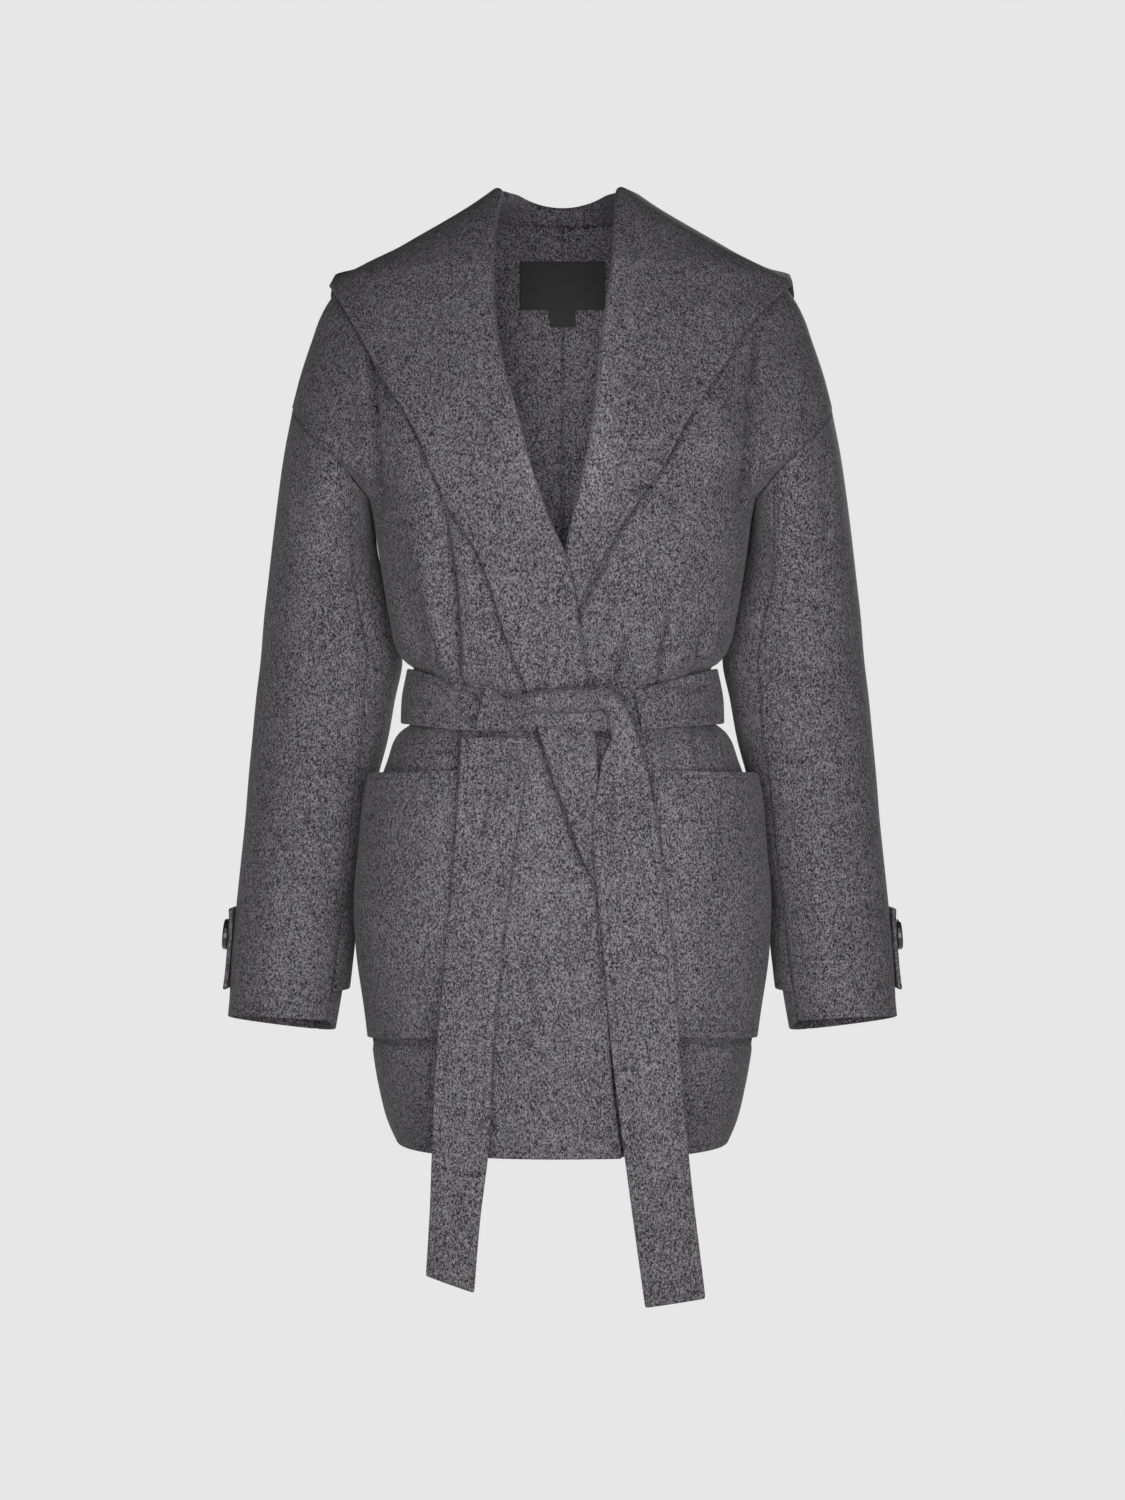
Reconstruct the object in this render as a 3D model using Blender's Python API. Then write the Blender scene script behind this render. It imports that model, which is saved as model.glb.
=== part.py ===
"""Wool wrap coat with a wide pointed shawl collar, dropped shoulders, two patch pockets, a knotted
self belt and buttoned cuff straps, standing in the shape it has when worn.

Lengths are in millimetres and reach Blender in metres. +X is the wearer's left, the front faces -Y,
+Z is up. The origin is on the centre line, level with the seam of collar and back neck."""

import math

import bpy
import numpy as np

# Cloth and sewing
WALL = 2.4  # double-faced wool
BELT_WALL = 3.0  # the belt is sewn double
SEAM_GAP = 0.3  # between the edges of two sewn pieces

# Heights that the pieces share
NECK_SEAM = -3.0
ARMHOLE_TOP = -174.0
YOKE_FOOT = -208.0  # from here to the armpit the rings narrow from yoke to body
ARMPIT = -251.0
HEM = -792.0

# The body's rows of points are level at the centre and rise towards the armhole. These are the
# heights, at the centre, of the rows that end at its top and at the armpit.
ROW_AT_TOP = -192.0
ROW_AT_ARMPIT = -258.0
MIDDLE_AT_ARMHOLE = (1.0, -3.0)  # where the rings are centred at those two rows
ROWS_LEVEL_ABOVE = -50.0
ROWS_LEVEL_BELOW = -305.0

# The rings of the upper body, arms included, at each height
YOKE = dict(
    height=(18, 8, -3, -19, -33, -47, -61, -70, -82, -99, -116, -150, -174, -201, -235, -266),
    half_width=(36, 52, 69, 96, 120.5, 145, 172, 187, 197, 206, 212, 223, 229, 234, 240, 244),
    front=(34, 38, 44, 52, 59, 66, 73, 77, 81, 87, 92, 101, 106, 110, 114, 116),
    back=(74, 78, 82, 87, 92, 97, 102, 104, 107, 111, 114, 118, 119, 119, 117, 115),
    middle=(6, 6, 6, 5, 5, 5, 4, 4, 4, 3, 3, 2, 1, 0, -2, -4),
)
YOKE_SQUARENESS = 2.25

# The rings of the body alone, from the armpits to the hem
BODY = dict(
    height=(-235, -266, -290, -320, -353, -380, -405, -434, -455, -472,
            -489, -523, -583, -640, -700, -745, -778, -792),
    half_width=(160, 159, 156, 151, 145, 138.5, 122, 125, 142, 148, 154, 161, 168, 166, 161, 153.5, 145, 139),
    front=(114, 115, 111, 104, 98, 95, 97, 102, 108, 114, 118, 122, 127, 129, 130, 129, 127, 126),
    back=(116, 116, 118, 121, 120, 114, 104, 97, 99, 104, 109, 117, 127, 131, 131, 129, 127, 126),
    middle=(-2, -5, -11, -19, -24, -24, -18, -12, -9, -9, -9, -10, -11, -12, -12, -12, -12, -12),
    squareness=(2.8, 2.7, 2.6, 2.5, 2.4, 2.3, 2.2, 2.2, 2.2, 2.3, 2.3, 2.4, 2.5, 2.5, 2.5, 2.5, 2.5, 2.5),
)

# The soft valley between the chest and the arm, which deepens down to the armpit
VALLEY = dict(
    height=(-70, -100, -140, -190, -225, -251, -266),
    place=(176, 171, 167, 164, 162, 160, 159),
    depth=(0, 2, 4, 8, 12, 15, 16),
    spread=(26, 26, 24, 22, 21, 20, 20),
)
VALLEY_AT_BACK = 0.4  # its share of that depth on the back

# The armhole seam from its top to the armpit, on the front and the back
ARMHOLE = dict(
    share=(0, 0.1, 0.2, 0.3, 0.4, 0.5, 0.6, 0.7, 0.8, 0.9, 1),
    out=(229, 226.5, 221, 212.5, 202, 191, 181, 172.5, 165.5, 161, 159.6),
    height=(-174, -180, -189, -199, -210, -220.5, -230, -238, -244.5, -249, -251),
    front=(1, -20, -39, -55, -66, -69.5, -65, -55, -41, -21, -3),
    back=(1, 24, 45, 62, 73, 77, 72, 60, 45, 24, -3),
)

# The sleeve: its outer and inner side, its middle from front to back, half its depth
SLEEVE = dict(
    height=(-174, -212, -251, -285, -320, -353, -387, -421, -455, -490, -523, -557, -591, -640, -676, -700),
    outer=(232, 239, 244, 248, 252, 256, 259, 263, 266, 269, 271, 274, 277, 281, 282, 284),
    inner=(163, 163, 163, 160, 152, 142, 137.5, 144, 150, 159, 165, 170, 176.5, 183, 188, 192),
    middle=(0, 1, 4, 12, 20, 25, 27, 27, 25, 22, 17, 12, 7, 0, -6, -10),
    half_depth=(74, 74, 73, 71, 69, 68, 67, 66, 65, 63, 62, 60, 59, 57, 55, 54),
)
CUFF = dict(height=-699.0, inner_fall=7.0, back_fall=7.5)  # its rim hangs lower inside and at the back
FRONT_SLEEVE_SEAM = dict(height=(-174, -380, -540, -700), angle=(121, 124, 143, 150))
BACK_SLEEVE_SEAM = dict(height=(-174, -380, -540, -700), angle=(121, 122, 124, 126))

# Roll line of the collar and its outer edge on each side of the front. The wearer's right side
# lies on top. Sideways places are counted towards that side's own arm.
ROLL_RIGHT = dict(
    height=(5, -15, -48, -80, -140, -188, -238, -284, -307, -360, -414, -456, -489, -528, -572),
    out=(50, 53.5, 56.5, 57, 50.5, 38, 25, 8.5, -2, -12, -20, -25.5, -28, -30, -32.5),
)
ROLL_LEFT = dict(
    height=(5, -15, -48, -80, -111, -150, -188, -238, -284, -307, -360, -414, -440, -572),
    out=(45, 43.5, 42, 39, 34.5, 30, 26.5, 18, 8, 2, -12, -20, -23, -32.5),
)
EDGE_RIGHT = dict(
    height=(-78, -92, -121, -159, -194, -235, -279, -300, -325, -362,
            -386, -409, -458, -487, -515, -553, -570),
    out=(190, 182, 165, 145, 124, 104.5, 84, 70, 59.5, 48, 40, 30, 17, 7.7, -3, -16.5, -26),
)
EDGE_LEFT = dict(
    height=(-78, -92, -120, -158, -194, -229, -262, -287, -319, -351, -375, -400, -425, -436),
    out=(187, 172, 148, 125.6, 102, 83.6, 61.3, 45, 29.6, 13.4, 1, -9, -17, -20),
)
LAPEL_FOOT_RIGHT = -570.0
LAPEL_FOOT_LEFT = -436.0
COLLAR_TIP = -68.0
COLLAR_BACK_DEPTH = -138.0  # height of the collar's edge at the centre back
ROLL_TOP = dict(back=12.0, side=5.0)  # height of the roll line behind the neck and beside it
RETURN = 14.0  # the strip of collar between the roll line and its seam to the front
# How far the collar's face stands off the coat: at the roll and out on the fall, where it is loose
# round the neck and where the wrap presses it flat
ROLL_LIFT = dict(loose=8.0, pressed=5.2)
FALL_LIFT = dict(loose=6.8, pressed=4.8)
PRESSED = dict(top=-140.0, foot=-290.0)
FREE_EDGE = dict(height=(-572, -650, -728, -792), out=(-32.5, -36, -40, -48))

# The wearer's left front dips below the right one where they cross
SINK = dict(depth=9.5, width=40.0, margin=5.0, top=-205.0, foot=-285.0)

# Largest folds: long soft ridges (+) and valleys (-) in the fronts and the back. Side -1 is the
# wearer's right, 0 the back. A fold runs from its top to its foot.
FOLDS = (
    dict(side=-1, top=-245, top_out=101, foot=-405, foot_out=80, height=-5.0, spread=9),
    dict(side=-1, top=-255, top_out=122, foot=-405, foot_out=98, height=4.0, spread=11),
    dict(side=-1, top=-385, top_out=52, foot=-415, foot_out=46, height=-2.0, spread=6),
    dict(side=-1, top=-445, top_out=83, foot=-500, foot_out=84, height=-3.5, spread=7),
    dict(side=-1, top=-300, top_out=140, foot=-410, foot_out=112, height=-3.5, spread=8),
    dict(side=1, top=-365, top_out=49, foot=-412, foot_out=41, height=-3.0, spread=6),
    dict(side=1, top=-345, top_out=87, foot=-415, foot_out=73, height=-4.0, spread=8),
    dict(side=1, top=-365, top_out=113, foot=-405, foot_out=103, height=-3.0, spread=6),
    dict(side=1, top=-295, top_out=95, foot=-410, foot_out=82, height=3.0, spread=10),
    dict(side=1, top=-445, top_out=92, foot=-505, foot_out=98, height=-3.0, spread=8),
    dict(side=0, top=-250, top_out=-70, foot=-412, foot_out=-52, height=-5.0, spread=10),
    dict(side=0, top=-250, top_out=74, foot=-412, foot_out=54, height=-5.0, spread=10),
    dict(side=0, top=-330, top_out=-24, foot=-412, foot_out=-18, height=-3.0, spread=8),
    dict(side=0, top=-320, top_out=28, foot=-412, foot_out=22, height=-3.0, spread=8),
    dict(side=0, top=-300, top_out=-112, foot=-410, foot_out=-88, height=-4.0, spread=9),
    dict(side=0, top=-300, top_out=112, foot=-410, foot_out=88, height=-4.0, spread=9),
    dict(side=0, top=-450, top_out=-48, foot=-520, foot_out=-58, height=-3.0, spread=9),
    dict(side=0, top=-450, top_out=50, foot=-520, foot_out=60, height=-3.0, spread=9),
)

# A patch pocket lies on each front, from inner (a sideways place) to outer_angle (degrees round the
# body). It stands off by bulge along its open top, and by gape more at the top's outer corner.
POCKET = dict(
    inner=72, outer_angle=88, top_inner=-481, top_outer=-488, foot_inner=-693, foot_outer=-705,
    bulge=5.0, gape=6.0,
)

# The belt round the waist, from the knot's right end over the back to its left end. place counts
# quarter turns: -1 and 1 are the sides, 0 the centre back.
BAND_ENDS = (-50, 60)
BAND = dict(
    place=(-1.75, -1.5, -1.2, -1, -0.5, 0, 0.5, 1, 1.2, 1.5, 1.75),
    top=(-420, -412, -399, -396, -399, -402, -399, -396, -399, -410, -420),
    foot=(-450, -448, -443, -442, -444, -446, -444, -442, -443, -446, -450),
)
BAND_LIFT = 2.5

# The knot: an upper roll that turns down into the wearer's left tail, and a lower one twisted below it
KNOT_UPPER = dict(
    step=(0, 1, 2, 3, 4, 5),
    x=(-47, -16, 14, 36, 46.5, 45),
    y=(-119, -129, -131, -130, -128, -125),
    z=(-428, -424, -421, -425, -437, -456),
    half_width=(8, 8.5, 9, 10, 11.5, 14),
    half_thickness=(5, 7, 7.5, 7.5, 5, 2),
)
KNOT_LOWER = dict(
    step=(0, 1, 2, 3, 4),
    x=(-50, -38, -20, 5, 34),
    y=(-118.5, -123, -127.5, -128.5, -126),
    z=(-434, -436, -437.5, -438, -438.5),
    half_width=(14, 13, 12, 11, 9.5),
    half_thickness=(4.5, 6, 6.5, 6, 4),
)

# The hanging tails: the two edges and how far forward they hang, at each height
TAIL_RIGHT = dict(
    height=(-454, -504, -553, -629, -711, -783, -838, -890),
    first=(-82, -84, -87, -94, -101, -104, -106, -109),
    last=(-24, -32.5, -40, -49, -56, -59, -66, -70.5),
    forward=(118, 134, 143, 147, 149, 150, 150, 150),
)
TAIL_LEFT = dict(
    height=(-459, -486, -528, -551, -618, -711, -791, -905),
    first=(30, 28.6, 24.5, 25.6, 32, 40, 50, 66),
    last=(59, 68, 76, 79, 87.5, 94, 101, 114),
    forward=(125, 132, 140, 143, 147, 149, 150, 150),
)
TAIL_FOOT_SLANT = dict(right=12.0, left=6.0)  # how much higher each tail ends at its outer edge
TAIL_TURN = 5.0  # the outer edge hangs this much further back

# The cuff strap, from the front inner seam round the back to a square tab on the outer side
STRAP = dict(top=-598, foot=-666, first=146, last=377, lift=1.0, hang=4.0, flare=2.0)
# A turned button: radius and height of its profile
BUTTON = dict(radius=(12.2, 13, 13, 12.2, 10.4, 9.4), height=(0, 0.8, 3.4, 4.5, 4.4, 3.5), turn=1, at=-621)

# Labels inside the back neck, hung by their top edge
NECK_LABEL = dict(width=76, top=-32, foot=-73, thickness=0.7)
SIZE_LABEL = dict(width=23, top=-73.5, foot=-88, thickness=0.5)
LABEL_GAP = 0.6

WOOL = dict(colour=(0.105, 0.100, 0.104), roughness=0.92)
WOVEN_LABEL = dict(colour=(0.008, 0.008, 0.009), roughness=0.6)
BUTTON_RESIN = dict(colour=(0.012, 0.012, 0.014), roughness=0.28)


def smooth(x):
    """0 to 1 with level ends."""
    x = np.clip(x, 0.0, 1.0)
    return x * x * (3 - 2 * x)


def read(table, column, at, key="height"):
    """A column of a table at any height, on a smooth curve through its rows."""
    x = np.array(table[key], float)
    y = np.array(table[column], float)
    if x[0] > x[-1]:
        x, y = x[::-1], y[::-1]
    step = np.diff(x)
    slope = np.diff(y) / step
    inner = (slope[1:] * step[:-1] + slope[:-1] * step[1:]) / (step[1:] + step[:-1])
    tangent = np.concatenate([slope[:1], inner, slope[-1:]])
    at = np.clip(np.asarray(at, float), x[0], x[-1])
    i = np.clip(np.searchsorted(x, at) - 1, 0, len(x) - 2)
    t = (at - x[i]) / step[i]
    return (
        (1 + 2 * t) * (1 - t) ** 2 * y[i]
        + t * (1 - t) ** 2 * step[i] * tangent[i]
        + t * t * (3 - 2 * t) * y[i + 1]
        + t * t * (t - 1) * step[i] * tangent[i + 1]
    )


def ring_radius(angle, half_width, depth, squareness):
    wide = np.abs(np.sin(angle) / half_width) ** squareness
    deep = np.abs(np.cos(angle) / depth) ** squareness
    return (wide + deep) ** (-1 / squareness)


def fold_height(x, height, side):
    """Sum of the folds that lie on this part of the coat."""
    total = np.zeros(np.broadcast(x, height).shape)
    for fold in FOLDS:
        if fold["side"] != side:
            continue
        along = (height - fold["top"]) / (fold["foot"] - fold["top"])
        middle = fold["top_out"] + (fold["foot_out"] - fold["top_out"]) * along
        ends = smooth((along + 0.25) / 0.6) * smooth((1.12 - along) / 0.3)
        total = total + fold["height"] * ends * np.exp(-(((x - middle) / fold["spread"]) ** 2))
    return total


def sink(x, height):
    """How far the wearer's left front dips where the right one lies over it."""
    over = -read(FREE_EDGE, "out", height)
    above = np.asarray(height) > FREE_EDGE["height"][0]
    over = np.where(above, -read(ROLL_RIGHT, "out", height), over)
    across = smooth((over + SINK["width"] - x) / (SINK["width"] - SINK["margin"]))
    return SINK["depth"] * across * smooth((SINK["top"] - height) / (SINK["top"] - SINK["foot"]))


def coat(angle, height, part, under=False, folded=True):
    """Outer skin of the body of the coat. angle is 0 at the centre front or back and a quarter turn,
    either way, at the side. under lowers the wearer's left side where the right one crosses it."""
    angle, z = np.broadcast_arrays(np.asarray(angle, float), np.asarray(height, float))
    column = "front" if part == "front" else "back"

    radius = ring_radius(angle, read(YOKE, "half_width", z), read(YOKE, column, z), YOKE_SQUARENESS)
    from_valley = (radius * np.abs(np.sin(angle)) - read(VALLEY, "place", z)) / read(VALLEY, "spread", z)
    square = read(BODY, "squareness", z)
    body = ring_radius(angle, read(BODY, "half_width", z), read(BODY, column, z), square)
    share = smooth((YOKE_FOOT - z) / (YOKE_FOOT - ARMPIT))
    valley = read(VALLEY, "depth", z) * np.exp(-(from_valley**2)) * (1 - share) * smooth(np.cos(angle) / 0.35)
    valley = valley * (VALLEY_AT_BACK if part == "back" else 1)
    radius = radius + (body - radius) * share
    middle = read(YOKE, "middle", z) + (read(BODY, "middle", z) - read(YOKE, "middle", z)) * share

    x = radius * np.sin(angle)
    if folded and part == "back":
        radius = radius + fold_height(x, z, 0)
    elif folded:
        radius = radius + np.where(x < 0, fold_height(-x, z, -1), fold_height(x, z, 1))
    if under:
        radius = radius - sink(x, z)
    y = radius * np.cos(angle) - valley
    return np.stack([radius * np.sin(angle), (-y if part == "front" else y) + middle, z], axis=-1)


def coat_normal(angle, height, part, under=False):
    """Unit normal of the skin, pointing out of the coat."""
    turn, drop = 0.004, 0.5
    across = coat(angle + turn, height, part, under) - coat(angle - turn, height, part, under)
    down = coat(angle, height - drop, part, under) - coat(angle, height + drop, part, under)
    normal = np.cross(across, down) * (-1 if part == "front" else 1)
    return normal / np.linalg.norm(normal, axis=-1, keepdims=True)


def over_coat(angle, height, part, lift, under=False):
    """A place on the skin, moved out by lift."""
    away = np.asarray(lift)[..., None] * coat_normal(angle, height, part, under)
    return coat(angle, height, part, under) + away


def angle_of(x, height, part="front", widest=math.pi / 2):
    """The angle at which the skin has a sideways place, found by bisection."""
    x, height = np.broadcast_arrays(np.asarray(x, float), np.asarray(height, float))
    low, high = np.full(x.shape, -widest), np.full(x.shape, widest)
    for _ in range(30):
        middle = (low + high) / 2
        left_of = coat(middle, height, part)[..., 0] < x
        low, high = np.where(left_of, middle, low), np.where(left_of, high, middle)
    return (low + high) / 2


def row_places(u, row, part):
    """Angle and height of places on the body's rows. u is 0 at the centre and 1 or -1 at the shoulder
    seam, armhole or side seam. Rows rise towards their ends, so that they meet the armhole."""
    u, row = np.broadcast_arrays(np.asarray(u, float), np.asarray(row, float))
    share = np.clip((ROW_AT_TOP - row) / (ROW_AT_TOP - ROW_AT_ARMPIT), 0, 1)
    on_seam = (row < ROW_AT_TOP - 0.01) & (row > ROW_AT_ARMPIT + 0.01)
    out, y, seam_height = (read(ARMHOLE, column, share, "share") for column in ("out", part, "height"))
    ring_middle = MIDDLE_AT_ARMHOLE[0] + (MIDDLE_AT_ARMHOLE[1] - MIDDLE_AT_ARMHOLE[0]) * share
    reach = np.where(on_seam, np.arctan2(out, np.abs(y - ring_middle)), math.pi / 2)
    above = (ARMHOLE_TOP - ROW_AT_TOP) * smooth((ROWS_LEVEL_ABOVE - row) / (ROWS_LEVEL_ABOVE - ROW_AT_TOP))
    below = (ARMPIT - ROW_AT_ARMPIT) * smooth((row - ROWS_LEVEL_BELOW) / (ROW_AT_ARMPIT - ROWS_LEVEL_BELOW))
    lift = np.where(row >= ROW_AT_TOP, above, np.where(on_seam, seam_height - row, below))
    return u * reach, row + lift * smooth((np.abs(u) - 0.3) / 0.7)


MATERIALS = {}


def material(name, look):
    if name not in MATERIALS:
        made = bpy.data.materials.new(name)
        made.use_nodes = True
        shader = made.node_tree.nodes["Principled BSDF"]
        shader.inputs["Base Color"].default_value = (*look["colour"], 1.0)
        shader.inputs["Roughness"].default_value = look["roughness"]
        shader.inputs["Metallic"].default_value = 0.0
        MATERIALS[name] = made
    return MATERIALS[name]


def solid(name, points, faces, look=("wool", WOOL)):
    """A mesh object from points in millimetres, with its faces turned outwards."""
    points = np.asarray(points, float)
    turned = 0.0
    for face in faces:
        corners = points[list(face)]
        for k in range(1, len(face) - 1):
            turned += np.dot(corners[0], np.cross(corners[k], corners[k + 1]))
    if turned < 0:
        faces = [tuple(reversed(face)) for face in faces]
    mesh = bpy.data.meshes.new(name)
    mesh.from_pydata((points / 1000).tolist(), [], faces)
    mesh.validate()
    mesh.shade_smooth()
    mesh.set_sharp_from_angle(angle=math.radians(40))
    mesh.materials.append(material(*look))
    made = bpy.data.objects.new(name, mesh)
    bpy.context.scene.collection.objects.link(made)
    return made


def two_triangles(points, a, b, c, d):
    """A quad split along its shorter diagonal."""
    if np.linalg.norm(points[a] - points[c]) <= np.linalg.norm(points[b] - points[d]):
        return [(a, b, c), (a, c, d)]
    return [(a, b, d), (b, c, d)]


def wall(name, outer, inner, look=("wool", WOOL)):
    """Closed solid between two grids of points, rows by columns."""
    rows, columns = outer.shape[:2]
    points = np.concatenate([outer.reshape(-1, 3), inner.reshape(-1, 3)])
    inside = rows * columns
    faces = []
    for i in range(rows - 1):
        for j in range(columns - 1):
            a, b = i * columns + j, i * columns + j + 1
            c, d = b + columns, a + columns
            split = two_triangles(points, a, b, c, d)
            faces += split
            faces += [tuple(inside + k for k in reversed(face)) for face in split]
    round_the_edge = [j for j in range(columns)]
    round_the_edge += [i * columns + columns - 1 for i in range(1, rows)]
    round_the_edge += [(rows - 1) * columns + j for j in range(columns - 2, -1, -1)]
    round_the_edge += [i * columns for i in range(rows - 2, 0, -1)]
    for a, b in zip(round_the_edge, round_the_edge[1:] + round_the_edge[:1]):
        faces.append((b, a, inside + a, inside + b))
    return solid(name, points, faces, look)


def grid_normals(grid):
    """Unit normals of a grid of points, pointing away from the middle of each row."""
    normals = np.cross(np.gradient(grid, axis=0), np.gradient(grid, axis=1))
    normals = normals / np.linalg.norm(normals, axis=-1, keepdims=True)
    return normals * np.sign(np.sum(normals * (grid - grid.mean(axis=1, keepdims=True))))


def pull_back(grid, edges, by=SEAM_GAP / 2):
    """Moves the named edges of a grid back from their seam by half the gap."""
    grid = grid.copy()
    for edge in edges:
        row = {"top": np.s_[0], "foot": np.s_[-1], "start": np.s_[:, 0], "end": np.s_[:, -1]}[edge]
        next_row = {"top": np.s_[1], "foot": np.s_[-2], "start": np.s_[:, 1], "end": np.s_[:, -2]}[edge]
        inwards = grid[next_row] - grid[row]
        length = np.linalg.norm(inwards, axis=-1, keepdims=True)
        grid[row] = grid[row] + inwards / length * by
    return grid


# Rows of the body's grids, from the neck to the hem
ARMHOLE_STEPS = 10
ARMHOLE_ROWS = list(np.linspace(ROW_AT_TOP, ROW_AT_ARMPIT, ARMHOLE_STEPS + 1))
SHOULDER_ROWS = [NECK_SEAM, -15.0, -28.0, -43.0, -60.0, -80.0, -101.0, -123.0, -146.0, -169.0]
LOWER_ROWS = [-274.0, -292.0, -312.0, -334.0, -356.0, -378.0, -398.0, -416.0, -436.0, -458.0, -478.0, -502.0]
LOWER_ROWS += [-536.0, -574.0]
HEM_ROWS = [-612.0, -655.0, -700.0, -745.0, -776.0, HEM]
FRONT_COLUMNS, BACK_COLUMNS = 13, 12


def collar_return(side, height):
    """Width of the strip of collar behind the roll line, which narrows at the lapel's foot."""
    foot = LAPEL_FOOT_RIGHT if side < 0 else LAPEL_FOOT_LEFT
    return 5 + (RETURN - 5) * smooth((np.asarray(height, float) - foot) / 90)


def front_edge(side, height):
    """How far out the inner edge of a front lies: at the collar's seam, or its own free edge."""
    roll = ROLL_RIGHT if side < 0 else ROLL_LEFT
    foot = LAPEL_FOOT_RIGHT if side < 0 else LAPEL_FOOT_LEFT
    height = np.asarray(height, float)
    shoulder = read(YOKE, "half_width", height) - 5
    seam = np.minimum(read(roll, "out", height) + collar_return(side, height), shoulder)
    above = height > FREE_EDGE["height"][0]
    free = np.where(above, read(roll, "out", height), read(FREE_EDGE, "out", height))
    return np.where(height > foot - 1, seam, free)


def panel_grid(side, part):
    """Rows, skin and normals of a front or a back, from its inner edge to the shoulder, armhole and side
    seam. Its armhole end is drawn to the armhole's table."""
    rows, columns = SHOULDER_ROWS + ARMHOLE_ROWS + HEM_ROWS, BACK_COLUMNS
    under = part == "front" and side > 0
    if part == "front":
        foot = LAPEL_FOOT_RIGHT if side < 0 else LAPEL_FOOT_LEFT
        step, columns = [foot, foot - 8], FRONT_COLUMNS
        rows = rows + step + [row for row in LOWER_ROWS if min(abs(row - level) for level in step) > 9]
    else:
        rows = rows + LOWER_ROWS
    rows = np.array(sorted(rows, reverse=True))
    start = angle_of(side * (front_edge(side, rows) if part == "front" else 0 * rows), rows, part)
    start = (start / row_places(1, rows, part)[0])[:, None]
    u = start + (side - start) * np.linspace(0, 1, columns)
    angle, height = row_places(u, rows[:, None], part)
    grid, normals = coat(angle, height, part, under), coat_normal(angle, height, part, under)

    share = (ROW_AT_TOP - rows) / (ROW_AT_TOP - ROW_AT_ARMPIT)
    on_seam = (share > 0.01) & (share < 0.99)
    out, y, level = (read(ARMHOLE, column, share, "share") for column in ("out", part, "height"))
    drawn = np.stack([side * out, y, level], axis=-1) - grid[:, -1]
    towards = (smooth((np.abs(u) - 0.5) / 0.5) * on_seam[:, None])[..., None]
    grid = grid + drawn[:, None] * towards
    turned = np.cross(np.gradient(grid, axis=0), np.gradient(grid, axis=1))
    turned = turned / np.linalg.norm(turned, axis=-1, keepdims=True)
    turned = turned * np.sign(np.sum(turned * normals, axis=-1, keepdims=True))
    normals = normals + (turned - normals) * smooth(towards * 3)
    return rows, grid, normals / np.linalg.norm(normals, axis=-1, keepdims=True)


def body_panels():
    for part in ("front", "back"):
        for side, name in ((-1, "right"), (1, "left")):
            rows, grid, normals = panel_grid(side, part)
            outer = pull_back(grid, ("top", "start", "end"))
            wall(part + "_" + name, outer, outer - WALL * normals)


def arm(angle, height, side):
    """The sleeve's section at a height. angle runs from the outer side (0) over the front."""
    outer, inner = read(SLEEVE, "outer", height), read(SLEEVE, "inner", height)
    x = (outer + inner) / 2 + (outer - inner) / 2 * np.cos(angle)
    y = read(SLEEVE, "middle", height) - read(SLEEVE, "half_depth", height) * np.sin(angle)
    return np.stack([side * x, y, height + 0 * x], axis=-1)


SLEEVE_SEAM = 7  # the column, counted from the outer side both ways, where the two sleeve pieces meet


def armhole(side):
    """The armhole seam once round, through the ends of the body's rows, and the skin's normals there."""
    points, normals = [], []
    for part in ("front", "back"):
        rows, grid, turned = panel_grid(side, part)
        on_seam = np.isin(rows, ARMHOLE_ROWS)
        half = np.s_[:] if part == "front" else np.s_[-2:0:-1]
        points.append(grid[on_seam, -1][half])
        normals.append(turned[on_seam, -1][half])
    return np.concatenate(points), np.concatenate(normals)


def sleeve_grid(side, rows=16):
    """Skin of the whole sleeve, rows from armhole to cuff, columns once round, and its normals."""
    columns = 2 * ARMHOLE_STEPS
    angles = 2 * math.pi * np.arange(columns) / columns
    half = np.minimum(angles, 2 * math.pi - angles)
    loop, loop_normals = armhole(side)
    foot = CUFF["height"] + CUFF["inner_fall"] * np.cos(angles) + CUFF["back_fall"] * np.sin(angles)
    length = 0.34 - 0.22 * smooth((np.degrees(half) - 90) / 70)
    seam_at = angles[SLEEVE_SEAM]
    points = []
    for t in np.linspace(0, 1, rows) ** 1.12:
        z = loop[:, 2] + (foot - loop[:, 2]) * t
        front_seam, back_seam = read(FRONT_SLEEVE_SEAM, "angle", z), read(BACK_SLEEVE_SEAM, "angle", z)
        seam = np.radians(np.where(angles < math.pi, front_seam, back_seam))
        seam = seam_at + (seam - seam_at) * smooth(t / 0.25)
        above = half / seam_at * seam
        below = seam + (half - seam_at) / (math.pi - seam_at) * (math.pi - seam)
        turned = np.where(half < seam_at, above, below)
        turned = np.where(angles < math.pi, turned, 2 * math.pi - turned)
        away = loop - arm(angles, loop[:, 2], side)
        points.append(arm(turned, z, side) + away * (1 - smooth(t / length))[:, None])
    points = np.array(points)
    around = np.roll(points, -1, axis=1) - np.roll(points, 1, axis=1)
    normals = np.cross(around, np.gradient(points, axis=0))
    normals = normals / np.linalg.norm(normals, axis=-1, keepdims=True)
    outwards = np.sum(normals * (points - points.mean(axis=1, keepdims=True)), axis=-1).mean()
    normals = normals * np.sign(outwards)
    share = smooth((np.degrees(half) - 80) / 60)[:, None]
    first = loop_normals + (normals[0] - loop_normals) * share
    normals[0] = first / np.linalg.norm(first, axis=-1, keepdims=True)
    return points, normals


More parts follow.
